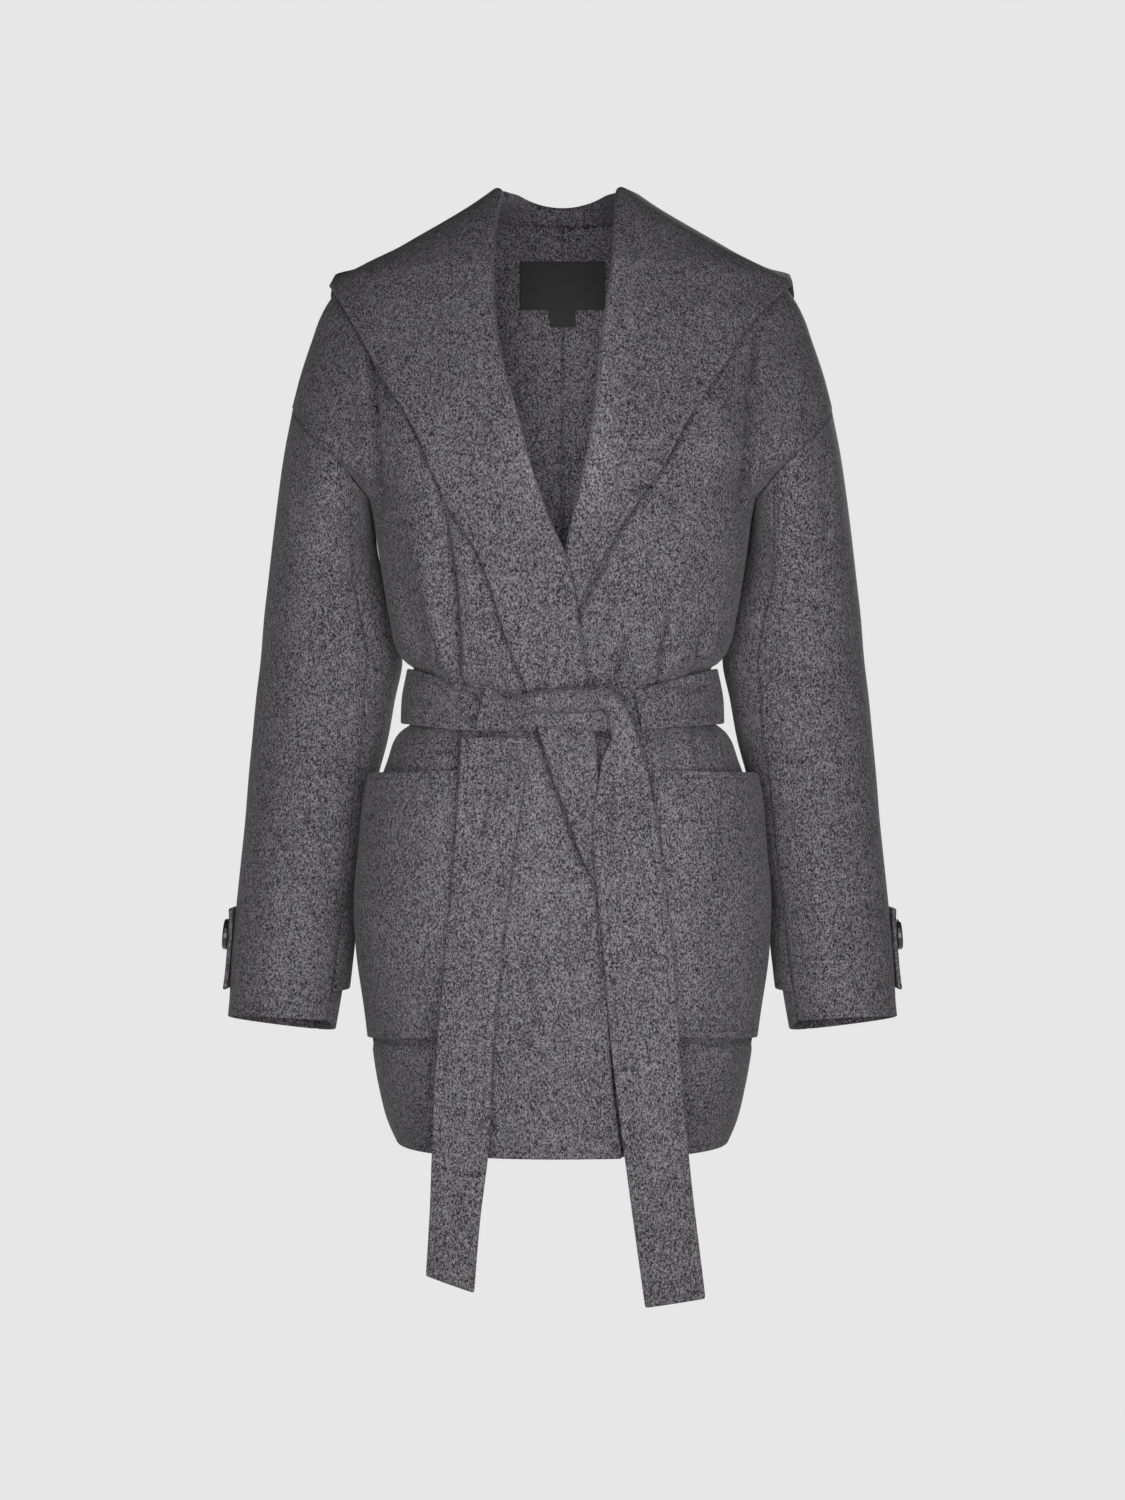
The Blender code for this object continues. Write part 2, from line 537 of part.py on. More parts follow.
def sleeves():
    for side, name in ((-1, "right"), (1, "left")):
        points, normals = sleeve_grid(side)
        count = points.shape[1]
        top = [(k - SLEEVE_SEAM) % count for k in range(2 * SLEEVE_SEAM + 1)]
        under = [SLEEVE_SEAM + k for k in range(count - 2 * SLEEVE_SEAM + 1)]
        for piece, columns in (("sleeve_top_", top), ("sleeve_under_", under)):
            outer = pull_back(points[:, columns], ("start", "end"))
            outer = pull_back(outer, ("top",), 2.5 * SEAM_GAP)
            wall(piece + name, outer, outer - WALL * normals[:, columns])


def collar_stations(side, count=22):
    """For each station down one front: height of its roll, height of its edge."""
    if side < 0:
        roll = (5, -15, -48, -80, -140, -188, -238, -284, -307, -360, -414, -456, -489, -528)
        edge = (-78, -92, -121, -150, -194, -235, -279, -307, -325, -370, -418, -458, -492, -530)
        foot = LAPEL_FOOT_RIGHT
    else:
        roll = (5, -15, -48, -80, -111, -150, -188, -238, -284, -307, -345, -385, -412)
        edge = (-78, -92, -120, -142, -165, -200, -232, -268, -305, -325, -358, -392, -416)
        foot = LAPEL_FOOT_LEFT
    table = dict(height=range(len(roll) + 1), roll=(*roll, foot), edge=(*edge, foot + 0.5))
    at = np.linspace(0, len(roll), count)
    return read(table, "roll", at), read(table, "edge", at)


def collar_row(seam, roll, edge, part, under, fall_steps=7, fold_steps=3):
    """One section of the collar along the middle of its cloth: the return, the fold over the roll and
    the fall. seam, roll and edge are places (angle, height) on the coat's skin."""
    seam, roll, edge = np.array(seam), np.array(roll), np.array(edge)
    pressed = smooth((PRESSED["top"] - roll[1]) / (PRESSED["top"] - PRESSED["foot"]))
    roll_lift = ROLL_LIFT["loose"] + (ROLL_LIFT["pressed"] - ROLL_LIFT["loose"]) * pressed
    fall_lift = FALL_LIFT["loose"] + (FALL_LIFT["pressed"] - FALL_LIFT["loose"]) * pressed
    seam_skin, roll_skin, edge_skin = (coat(*place, part, under) for place in (seam, roll, edge))
    normal = coat_normal(*roll, part, under)
    towards = roll_skin - seam_skin
    towards = towards - normal * np.dot(towards, normal)
    towards = towards / np.linalg.norm(towards)
    radius = roll_lift / 2
    centre = roll_skin - towards * radius + normal * (roll_lift - WALL) / 2
    points = [over_coat(*seam, part, -WALL / 2, under)]
    for k in range(fold_steps + 1):
        beta = math.pi * k / fold_steps
        points.append(centre + radius * (math.sin(beta) * towards - math.cos(beta) * normal))
    width = np.linalg.norm(edge_skin - roll_skin)
    first = min((radius + 5) / width, 0.5)
    for along in np.linspace(first, 1, fall_steps):
        place = roll + (edge - roll) * along
        lift = fall_lift + (roll_lift - fall_lift) * math.exp(-((along * width / 26) ** 2))
        points.append(over_coat(*place, part, lift - WALL / 2, under))
    return points


def collar_mid():
    """The whole collar along the middle of its cloth: right lapel from its foot up, back, left lapel."""
    halves = []
    for side in (-1, 1):
        rows = []
        for u in np.linspace(0, 1, 8):
            angle = side * u * math.pi / 2
            fall = smooth((u - 0.45) / 0.75) / smooth(0.55 / 0.75)
            edge_height = COLLAR_BACK_DEPTH + (COLLAR_TIP - COLLAR_BACK_DEPTH) * fall
            roll_height = ROLL_TOP["back"] + (ROLL_TOP["side"] - ROLL_TOP["back"]) * smooth(u)
            places = (angle, NECK_SEAM + SEAM_GAP), (angle, roll_height), (angle, edge_height)
            rows.append(collar_row(*places, "back", False))
        roll_table, edge_table = (ROLL_RIGHT, EDGE_RIGHT) if side < 0 else (ROLL_LEFT, EDGE_LEFT)
        for roll_height, edge_height in zip(*collar_stations(side)):
            seam_height = min(roll_height, NECK_SEAM + SEAM_GAP)
            seam = angle_of(side * front_edge(side, min(roll_height, NECK_SEAM)), seam_height)
            roll = angle_of(side * read(roll_table, "out", roll_height), roll_height)
            edge = angle_of(side * read(edge_table, "out", edge_height), edge_height)
            places = (seam, seam_height), (roll, roll_height), (edge, edge_height)
            rows.append(collar_row(*places, "front", side > 0))
        halves.append(rows)
    right, left = halves
    return np.array(right[::-1] + left[1:])


def collar():
    mid = collar_mid()
    normals = np.cross(np.gradient(mid, axis=0), np.gradient(mid, axis=1))
    normals = normals / np.linalg.norm(normals, axis=-1, keepdims=True)
    mid = pull_back(mid, ("start",), 2 * SEAM_GAP)
    wall("collar", mid + normals * WALL / 2, mid - normals * WALL / 2)


def pockets():
    for side, name in ((-1, "right"), (1, "left")):
        across, down = np.meshgrid(np.linspace(0, 1, 9), np.linspace(0, 1, 9))
        height = POCKET["top_inner"] + (POCKET["top_outer"] - POCKET["top_inner"]) * across
        foot = POCKET["foot_inner"] + (POCKET["foot_outer"] - POCKET["foot_inner"]) * across
        height = height + (foot - height) * down
        inner = angle_of(side * POCKET["inner"], height)
        angle = inner + (side * math.radians(POCKET["outer_angle"]) - inner) * across
        sides = smooth(across / 0.22) * smooth((1 - across) / 0.22)
        lift = 0.9 + POCKET["bulge"] * sides * smooth((1 - down) / 0.35)
        lift = lift + POCKET["gape"] * smooth((across - 0.3) / 0.7) * smooth(1 - down / 0.35)
        grid = over_coat(angle, height, "front", lift, side > 0)
        normals = coat_normal(angle, height, "front", side > 0)
        wall("pocket_" + name, grid + WALL * normals, grid)


def band_skin(place, down):
    """Inner face of the belt band. place counts quarter turns from the centre back."""
    height = read(BAND, "top", place, "place")
    height = height + (read(BAND, "foot", place, "place") - height) * down
    back = coat(place * math.pi / 2, height, "back", folded=False)
    front = coat(np.sign(place) * (2 - np.abs(place)) * math.pi / 2, height, "front", folded=False)
    return np.where((np.abs(place) <= 1)[..., None], back, front)


def belt_band():
    ends = [abs(angle_of(x, -434)) / (math.pi / 2) for x in BAND_ENDS]
    place, down = np.meshgrid(np.linspace(ends[0] - 2, 2 - ends[1], 41), np.linspace(0, 1, 4))
    grid = band_skin(place, down)
    normals = grid_normals(grid)
    grid = grid + BAND_LIFT * normals
    wall("belt_band", grid + BELT_WALL * normals, grid)


def roll(name, path, stations, around=12):
    """A soft roll of cloth along a path, its section wide along the coat and thin away from it."""
    at = np.linspace(path["step"][0], path["step"][-1], stations)
    middle = np.stack([read(path, axis, at, "step") for axis in "xyz"], axis=-1)
    along = np.gradient(middle, axis=0)
    along = along / np.linalg.norm(along, axis=-1, keepdims=True)
    forward = np.array([0.0, -1.0, 0.0]) + along * along[:, 1:2]
    forward = forward / np.linalg.norm(forward, axis=-1, keepdims=True)
    across = np.cross(along, forward)
    turn = 2 * math.pi * np.arange(around) / around
    wide = read(path, "half_width", at, "step")[:, None, None] * np.cos(turn)[None, :, None]
    thick = read(path, "half_thickness", at, "step")[:, None, None] * np.sin(turn)[None, :, None]
    rings = middle[:, None] + wide * across[:, None] + thick * forward[:, None]
    points = np.concatenate([rings.reshape(-1, 3), middle[:1], middle[-1:]])
    faces = []
    for i in range(stations - 1):
        for j in range(around):
            k = (j + 1) % around
            faces.append((i * around + j, i * around + k, (i + 1) * around + k, (i + 1) * around + j))
    for j in range(around):
        k = (j + 1) % around
        faces.append((len(points) - 2, k, j))
        faces.append((len(points) - 1, (stations - 1) * around + j, (stations - 1) * around + k))
    return solid(name, points, faces)


def belt_knot():
    knot = roll("belt_knot", KNOT_UPPER, 15)
    lower = roll("knot_lower", KNOT_LOWER, 11)
    lower.hide_render = True
    lower.display_type = "WIRE"
    joined = knot.modifiers.new("lower roll", "BOOLEAN")
    joined.operation = "UNION"
    joined.solver = "EXACT"
    joined.object = lower


def belt_tails():
    for name, tail, side in (("right", TAIL_RIGHT, -1), ("left", TAIL_LEFT, 1)):
        top, foot = tail["height"][0], tail["height"][-1]
        across, down = np.meshgrid(np.linspace(0, 1, 4), np.linspace(0, 1, 12))
        outwards = across if side > 0 else 1 - across
        height = top + (foot - top) * down
        first, last = read(tail, "first", height), read(tail, "last", height)
        x = first + (last - first) * across
        y = -read(tail, "forward", height) + TAIL_TURN * outwards**2 * smooth(down / 0.3)
        z = height + TAIL_FOOT_SLANT[name] * (outwards - 0.5) * smooth((down - 0.75) / 0.25)
        grid = np.stack([x, y, z], axis=-1)
        normals = np.cross(np.gradient(grid, axis=0), np.gradient(grid, axis=1))
        normals = normals / np.linalg.norm(normals, axis=-1, keepdims=True) * BELT_WALL / 2
        wall("belt_tail_" + name, grid + normals, grid - normals)


def strap_face(side, turn, down):
    """Inner face of a cuff strap. turn is in degrees round the sleeve, down runs from 0 to 1."""
    height = STRAP["top"] + (STRAP["foot"] - STRAP["top"]) * down
    angle = np.radians(turn)
    wide = (read(SLEEVE, "outer", height) - read(SLEEVE, "inner", height)) / 2
    away = np.stack(
        [side * np.cos(angle) * read(SLEEVE, "half_depth", height), -np.sin(angle) * wide, 0 * angle], axis=-1
    )
    away = away / np.linalg.norm(away, axis=-1, keepdims=True)
    lift = STRAP["lift"] + STRAP["hang"] * np.exp(-(((turn - 180) / 30) ** 2)) * down
    lift = lift + STRAP["flare"] * smooth((turn - STRAP["last"] + 8) / 8) * (2 * down - 1) ** 2
    return arm(angle, height, side) + lift[..., None] * away


def cuffs():
    for side, name in ((-1, "right"), (1, "left")):
        turn, down = np.meshgrid(np.linspace(STRAP["first"], STRAP["last"], 18), np.linspace(0, 1, 4))
        grid = strap_face(side, turn, down)
        wall("cuff_strap_" + name, grid + WALL * grid_normals(grid), grid)

        turn = 360.0 + BUTTON["turn"] + np.array([[-2.0, 2.0], [-2.0, 2.0]])
        down = (BUTTON["at"] - STRAP["top"]) / (STRAP["foot"] - STRAP["top"])
        down = down + np.array([[-0.1, -0.1], [0.1, 0.1]])
        patch = strap_face(side, turn, down)
        beside = patch[0, 1] - patch[0, 0]
        up = patch[0, 0] - patch[1, 0]
        away = np.cross(beside, up)
        away = away / np.linalg.norm(away)
        away = away * np.sign(away[0] * side)
        up = up / np.linalg.norm(up)
        beside = np.cross(away, up)
        middle = patch.mean(axis=(0, 1)) + away * (WALL + 1.5 * SEAM_GAP)
        turn = 2 * math.pi * np.arange(20) / 20
        points = []
        for radius, height in zip(BUTTON["radius"], BUTTON["height"]):
            ring = radius * (np.cos(turn)[:, None] * beside + np.sin(turn)[:, None] * up)
            points += list(middle + ring + height * away)
        points += [middle, middle + BUTTON["height"][-1] * away]
        last = len(BUTTON["radius"]) - 1
        faces = []
        for j in range(20):
            k = (j + 1) % 20
            faces += [(i * 20 + j, i * 20 + k, i * 20 + 20 + k, i * 20 + 20 + j) for i in range(last)]
            faces += [(len(points) - 2, k, j), (len(points) - 1, last * 20 + j, last * 20 + k)]
        solid("cuff_button_" + name, points, faces, ("button", BUTTON_RESIN))


def labels():
    for name, label, look in (
        ("neck_label", NECK_LABEL, ("neck label", WOVEN_LABEL)),
        ("size_label", SIZE_LABEL, ("size label", WOVEN_LABEL)),
    ):
        x, height = np.meshgrid(
            np.linspace(-label["width"] / 2, label["width"] / 2, 5),
            np.linspace(label["top"], label["foot"], 3),
        )
        angle = angle_of(x, height, "back")
        outer = over_coat(angle, height, "back", np.full(x.shape, -WALL - LABEL_GAP))
        wall(name, outer, outer - label["thickness"] * coat_normal(angle, height, "back"), look)


def clear_scene():
    for old in list(bpy.data.objects):
        bpy.data.objects.remove(old)


clear_scene()
body_panels()
sleeves()
collar()
pockets()
belt_band()
belt_knot()
belt_tails()
cuffs()
labels()
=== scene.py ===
"""Looks of a wool wrap coat, worn by nobody: a wide pointed shawl collar, dropped shoulders, patch
pockets, a knotted self belt and buttoned cuff straps, all in one double-faced heather grey wool.

The cloth's own sizes are in millimetres and reach Blender in metres. +X is the wearer's left, the
front faces -Y, +Z is up, and heights count from the seam of collar and back neck."""

import math
from collections import namedtuple

import bpy
import numpy as np
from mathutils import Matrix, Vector


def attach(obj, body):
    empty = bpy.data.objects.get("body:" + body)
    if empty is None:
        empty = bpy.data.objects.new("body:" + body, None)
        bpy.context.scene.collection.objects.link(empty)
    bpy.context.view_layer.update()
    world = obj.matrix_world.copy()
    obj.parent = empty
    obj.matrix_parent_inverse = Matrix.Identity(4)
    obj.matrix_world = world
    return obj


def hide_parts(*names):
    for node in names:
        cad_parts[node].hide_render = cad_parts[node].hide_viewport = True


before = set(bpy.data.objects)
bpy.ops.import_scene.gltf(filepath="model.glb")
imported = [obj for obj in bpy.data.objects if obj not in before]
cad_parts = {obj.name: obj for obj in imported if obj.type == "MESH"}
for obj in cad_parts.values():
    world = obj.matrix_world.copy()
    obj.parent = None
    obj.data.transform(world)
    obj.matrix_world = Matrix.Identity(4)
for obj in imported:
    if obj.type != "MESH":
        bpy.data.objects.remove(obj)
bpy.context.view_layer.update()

# --- Fronts and backs -----------------------------------------------------------------------------
# Two fronts and two backs of double-faced wool, cut without a lining and sewn edge to edge at the
# shoulders, the sides and the centre back. The wearer's right front wraps over the left.

WALL = 2.4  # double-faced wool
STITCH = 4.5  # length of one stitch
EDGE_STITCHING = 5.0  # how far the stitching lies from a turned edge
FELLING = 6.0  # how far from a seam its turning is sewn down
# Heights that the pieces share
NECK_SEAM = -3.0
ARMHOLE_TOP = -174.0
YOKE_FOOT = -208.0  # from here to the armpit the rings narrow from yoke to body
ARMPIT = -251.0
HEM = -792.0

# The body's rows of points are level at the centre and rise towards the armhole. These heights, at
# the centre, are those of the rows that end at its top and at the armpit.
ROW_AT_TOP = -192.0
ROW_AT_ARMPIT = -258.0
MIDDLE_AT_ARMHOLE = (1.0, -3.0)  # where the rings are centred at those two rows
ROWS_LEVEL_ABOVE = -50.0
ROWS_LEVEL_BELOW = -305.0

# The rings of the upper body, arms included, at each height
YOKE = dict(
    height=(18, 8, -3, -19, -33, -47, -61, -70, -82, -99, -116, -150, -174, -201, -235, -266),
    half_width=(36, 52, 69, 96, 120.5, 145, 172, 187, 197, 206, 212, 223, 229, 234, 240, 244),
    front=(34, 38, 44, 52, 59, 66, 73, 77, 81, 87, 92, 101, 106, 110, 114, 116),
    back=(74, 78, 82, 87, 92, 97, 102, 104, 107, 111, 114, 118, 119, 119, 117, 115),
    middle=(6, 6, 6, 5, 5, 5, 4, 4, 4, 3, 3, 2, 1, 0, -2, -4),
)
YOKE_SQUARENESS = 2.25

# The rings of the body alone, from the armpits to the hem
BODY = dict(
    height=(-235, -266, -290, -320, -353, -380, -405, -434, -455, -472,
            -489, -523, -583, -640, -700, -745, -778, -792),
    half_width=(160, 159, 156, 151, 145, 138.5, 122, 125, 142, 148,
                154, 161, 168, 166, 161, 153.5, 145, 139),
    front=(114, 115, 111, 104, 98, 95, 97, 102, 108, 114, 118, 122, 127, 129, 130, 129, 127, 126),
    back=(116, 116, 118, 121, 120, 114, 104, 97, 99, 104, 109, 117, 127, 131, 131, 129, 127, 126),
    middle=(-2, -5, -11, -19, -24, -24, -18, -12, -9, -9, -9, -10, -11, -12, -12, -12, -12, -12),
    squareness=(2.8, 2.7, 2.6, 2.5, 2.4, 2.3, 2.2, 2.2, 2.2, 2.3, 2.3, 2.4, 2.5, 2.5, 2.5, 2.5, 2.5, 2.5),
)

# The soft valley between the chest and the arm, which deepens down to the armpit
VALLEY = dict(
    height=(-70, -100, -140, -190, -225, -251, -266),
    place=(176, 171, 167, 164, 162, 160, 159),
    depth=(0, 2, 4, 8, 12, 15, 16),
    spread=(26, 26, 24, 22, 21, 20, 20),
)
VALLEY_AT_BACK = 0.4  # its share of that depth on the back

# The armhole seam from its top to the armpit, on the front and the back
ARMHOLE = dict(
    share=(0, 0.1, 0.2, 0.3, 0.4, 0.5, 0.6, 0.7, 0.8, 0.9, 1),
    out=(229, 226.5, 221, 212.5, 202, 191, 181, 172.5, 165.5, 161, 159.6),
    height=(-174, -180, -189, -199, -210, -220.5, -230, -238, -244.5, -249, -251),
    front=(1, -20, -39, -55, -66, -69.5, -65, -55, -41, -21, -3),
    back=(1, 24, 45, 62, 73, 77, 72, 60, 45, 24, -3),
)

# Roll line of the collar and its outer edge on each side of the front. The wearer's right side
# lies on top. Sideways places are counted towards that side's own arm.
ROLL_RIGHT = dict(
    height=(5, -15, -48, -80, -140, -188, -238, -284, -307, -360, -414, -456, -489, -528, -572),
    out=(50, 53.5, 56.5, 57, 50.5, 38, 25, 8.5, -2, -12, -20, -25.5, -28, -30, -32.5),
)
ROLL_LEFT = dict(
    height=(5, -15, -48, -80, -111, -150, -188, -238, -284, -307, -360, -414, -440, -572),
    out=(45, 43.5, 42, 39, 34.5, 30, 26.5, 18, 8, 2, -12, -20, -23, -32.5),
)
FREE_EDGE = dict(height=(-572, -650, -728, -792), out=(-32.5, -36, -40, -48))
LAPEL_FOOT_RIGHT = -570.0
LAPEL_FOOT_LEFT = -436.0
# The strip of collar between the roll line and its seam to the front, narrower at the lapel's foot
RETURN = dict(width=14.0, foot_width=5.0, fade=90.0)
SHOULDER_MARGIN = 5.0  # a front's inner edge stops this far short of the shoulder

# Outer edge of the collar on each side, from its tip at the shoulder down to the lapel's foot
EDGE_RIGHT = dict(
    height=(-78, -92, -121, -159, -194, -235, -279, -300, -325, -362,
            -386, -409, -458, -487, -515, -553, -570),
    out=(190, 182, 165, 145, 124, 104.5, 84, 70, 59.5, 48, 40, 30, 17, 7.7, -3, -16.5, -26),
)
EDGE_LEFT = dict(
    height=(-78, -92, -120, -158, -194, -229, -262, -287, -319, -351, -375, -400, -425, -436),
    out=(187, 172, 148, 125.6, 102, 83.6, 61.3, 45, 29.6, 13.4, 1, -9, -17, -20),
)

# The belt round the waist, from the knot's right end over the back to its left end. place counts
# quarter turns: -1 and 1 are the sides, 0 the centre back.
BAND = dict(
    place=(-1.75, -1.5, -1.2, -1, -0.5, 0, 0.5, 1, 1.2, 1.5, 1.75),
    top=(-420, -412, -399, -396, -399, -402, -399, -396, -399, -410, -420),
    foot=(-450, -448, -443, -442, -444, -446, -444, -442, -443, -446, -450),
)

# The wearer's left front dips below the right one where they cross
SINK = dict(depth=9.5, width=40.0, margin=5.0, top=-205.0, foot=-285.0)

# Largest folds: long soft ridges (+) and valleys (-) in the fronts and the back. Side -1 is the
# wearer's right, 0 the back. A fold runs from its top to its foot.
Fold = namedtuple("Fold", "side top top_out foot foot_out height spread")
FOLDS = (
    Fold(-1, -245, 101, -405, 80, -5.0, 9),
    Fold(-1, -255, 122, -405, 98, 4.0, 11),
    Fold(-1, -385, 52, -415, 46, -2.0, 6),
    Fold(-1, -445, 83, -500, 84, -3.5, 7),
    Fold(-1, -300, 140, -410, 112, -3.5, 8),
    Fold(1, -365, 49, -412, 41, -3.0, 6),
    Fold(1, -345, 87, -415, 73, -4.0, 8),
    Fold(1, -365, 113, -405, 103, -3.0, 6),
    Fold(1, -295, 95, -410, 82, 3.0, 10),
    Fold(1, -445, 92, -505, 98, -3.0, 8),
    Fold(0, -250, -70, -412, -52, -5.0, 10),
    Fold(0, -250, 74, -412, 54, -5.0, 10),
    Fold(0, -330, -24, -412, -18, -3.0, 8),
    Fold(0, -320, 28, -412, 22, -3.0, 8),
    Fold(0, -300, -112, -410, -88, -4.0, 9),
    Fold(0, -300, 112, -410, 88, -4.0, 9),
    Fold(0, -450, -48, -520, -58, -3.0, 9),
    Fold(0, -450, 50, -520, 60, -3.0, 9),
)


def smooth(x):
    """0 to 1 with level ends."""
    x = np.clip(x, 0.0, 1.0)
    return x * x * (3 - 2 * x)


def read(table, column, at, key="height"):
    """A column of a table at any height, on a smooth curve through its rows."""
    x = np.array(table[key], float)
    y = np.array(table[column], float)
    if x[0] > x[-1]:
        x, y = x[::-1], y[::-1]
    step = np.diff(x)
    slope = np.diff(y) / step
    inner = (slope[1:] * step[:-1] + slope[:-1] * step[1:]) / (step[1:] + step[:-1])
    tangent = np.concatenate([slope[:1], inner, slope[-1:]])
    at = np.clip(np.asarray(at, float), x[0], x[-1])
    i = np.clip(np.searchsorted(x, at) - 1, 0, len(x) - 2)
    t = (at - x[i]) / step[i]
    return (
        (1 + 2 * t) * (1 - t) ** 2 * y[i]
        + t * (1 - t) ** 2 * step[i] * tangent[i]
        + t * t * (3 - 2 * t) * y[i + 1]
        + t * t * (t - 1) * step[i] * tangent[i + 1]
    )


def ring_radius(angle, half_width, depth, squareness):
    wide = np.abs(np.sin(angle) / half_width) ** squareness
    deep = np.abs(np.cos(angle) / depth) ** squareness
    return (wide + deep) ** (-1 / squareness)


def fold_height(x, height, side):
    """Sum of the folds on this side of the coat. Each fades in above its top and out past its foot."""
    total = np.zeros(np.broadcast(x, height).shape)
    for fold in FOLDS:
        if fold.side == side:
            along = (height - fold.top) / (fold.foot - fold.top)
            middle = fold.top_out + (fold.foot_out - fold.top_out) * along
            ends = smooth((along + 0.25) / 0.6) * smooth((1.12 - along) / 0.3)
            total = total + fold.height * ends * np.exp(-(((x - middle) / fold.spread) ** 2))
    return total


def sink(x, height):
    """How far the wearer's left front dips where the right one lies over it."""
    over = -read(FREE_EDGE, "out", height)
    above = np.asarray(height) > FREE_EDGE["height"][0]
    over = np.where(above, -read(ROLL_RIGHT, "out", height), over)
    across = smooth((over + SINK["width"] - x) / (SINK["width"] - SINK["margin"]))
    return SINK["depth"] * across * smooth((SINK["top"] - height) / (SINK["top"] - SINK["foot"]))


def slack(x, z):
    """The slight unevenness of thick wool that hangs free."""
    long = 0.9 * np.sin(x / 27 + 1.6 * np.sin(z / 73)) * np.sin(z / 61 + 1.3)
    return long + 0.5 * np.sin(x / 15 - z / 44 + 0.8) * np.sin(z / 92 + x / 70)


# Creases pressed in by wear, as (line, depth, width, ridge): along a bent line, given sideways and up,
# a soft ridge on one side of it, +1 or -1, drops into a narrow valley. 0 is a valley alone.
CREASES = {
    ("front", -1): (
        (((-100, -245), (-90, -297), (-86, -323), (-83, -366), (-80, -430)), 5.0, 4.5, 1),
        (((-118, -342), (-106, -374), (-92, -412)), 1.8, 5.0, 1),
        (((-53, -387), (-48, -400), (-44, -422)), 1.2, 3.0, 1),
        (((-41, -374), (-35, -391), (-31, -412)), 1.2, 3.0, -1),
        (((-83, -415), (-83, -464), (-84, -510)), 3.6, 4.0, 1),
        (((-70, -430), (-71, -460), (-70, -490)), 1.8, 4.0, -1),
        (((-116, -430), (-110, -460), (-100, -482)), 1.6, 5.0, 1),
        (((-164, -85), (-160, -150), (-156, -211), (-153, -275)), 7.5, 6.5, -1),
        (((-128, -309), (-120, -342), (-110, -395)), 1.6, 7.0, -1),
        (((-50, -695), (-72, -697), (-110, -702), (-185, -709)), 4.0, 3.6, 0),
        (((-30, -610), (-22, -660), (-26, -720)), 1.0, 9.0, 1),
        (((8, -560), (3, -630), (12, -700)), 0.9, 8.0, -1),
    ),
    ("front", 1): (
        (((13, -374), (15, -392), (19, -420)), 1.5, 3.0, 1),
        (((51, -360), (45, -391), (40, -425)), 3.2, 3.6, -1),
        (((61, -383), (58, -397), (55, -420)), 1.3, 3.0, 1),
        (((88, -340), (80, -383), (73, -430)), 4.0, 4.0, -1),
        (((98, -295), (88, -350), (75, -410)), 1.8, 7.0, 1),
        (((115, -358), (109, -387), (101, -420)), 3.0, 4.0, -1),
        (((95, -391), (92, -403), (90, -422)), 1.0, 3.0, 1),
        (((123, -430), (127, -456), (131, -476)), 2.0, 4.0, 1),
        (((104, -430), (105, -457), (110, -478)), 1.5, 4.0, -1),
        (((165, -88), (160, -150), (155, -220), (150, -275)), 7.5, 6.5, 1),
        (((128, -322), (123, -358), (116, -398)), 1.5, 6.0, 1),
        (((50, -695), (72, -697), (110, -702), (185, -709)), 4.0, 3.6, 0),
    ),
    ("back", -1): (
        (((-78, -262), (-70, -320), (-58, -372), (-52, -425)), 3.0, 4.0, -1),
        (((-30, -345), (-24, -378), (-20, -425)), 1.8, 3.6, 1),
        (((-118, -318), (-104, -362), (-92, -420)), 2.4, 4.6, 1),
        (((-9, -372), (-8, -395), (-10, -422)), 1.2, 3.0, -1),
        (((-47, -425), (-52, -470), (-60, -540)), 2.2, 4.0, 1),
        (((-88, -425), (-96, -458), (-112, -505)), 1.9, 4.4, -1),
        (((-22, -430), (-26, -462), (-25, -500)), 1.4, 3.6, -1),
        (((-158, -175), (-152, -212), (-148, -262)), 3.0, 5.5, 1),
        (((-140, -275), (-122, -300), (-96, -316)), 1.8, 8.0, 1),
    ),
    ("back", 1): (
        (((70, -250), (66, -312), (60, -368), (54, -425)), 2.8, 4.2, 1),
        (((34, -330), (30, -372), (24, -425)), 2.0, 3.8, -1),
        (((110, -330), (100, -366), (86, -420)), 2.2, 4.4, -1),
        (((72, -385), (68, -402), (67, -422)), 1.1, 3.0, 1),
        (((52, -425), (57, -480), (70, -552)), 2.4, 4.2, -1),
        (((96, -425), (104, -462), (116, -496)), 1.7, 4.2, 1),
        (((14, -430), (17, -455), (16, -486)), 1.3, 3.4, 1),
        (((159, -178), (151, -216), (147, -264)), 3.0, 5.5, -1),
        (((138, -282), (118, -304), (90, -330)), 1.8, 8.0, -1),
    ),
}
CREASE_EDGE = 1.5  # how sharply a crease's ridge drops into its valley
CREASE_LOW = 2.4  # half the width of that valley
TROUGH = dict(depth=2.8, width=4.2, fade=15)  # the front gives way a little along the collar's edge
# The coat blouses above the belt and a little less below it, and is drawn in under the belt's edges
BLOUSE = dict(height=3.0, above=11, above_width=8, below=12, below_width=9, below_share=0.6)
BITE = dict(depth=2.2, width=3.4)


def from_line(grid, line):
    """How far places lie from a bent line, signed by its side, and how far along it they are, 0 to 1."""
    x, z = grid[..., 0], grid[..., 2]
    line = np.array(line, float)
    lengths = np.linalg.norm(np.diff(line, axis=0), axis=1)
    away, share, done = np.full(x.shape, 1e6), np.zeros(x.shape), 0.0
    for (x0, z0), (x1, z1), length in zip(line, line[1:], lengths):
        along = np.clip(((x - x0) * (x1 - x0) + (z - z0) * (z1 - z0)) / length**2, 0, 1)
        gap = np.hypot(x - x0 - along * (x1 - x0), z - z0 - along * (z1 - z0))
        gap = gap * np.where((x - x0) * (z1 - z0) < (z - z0) * (x1 - x0), 1, -1)
        nearer = np.abs(gap) < np.abs(away)
        away = np.where(nearer, gap, away)
        share = np.where(nearer, (done + along * length) / lengths.sum(), share)
        done += length
    return away, share


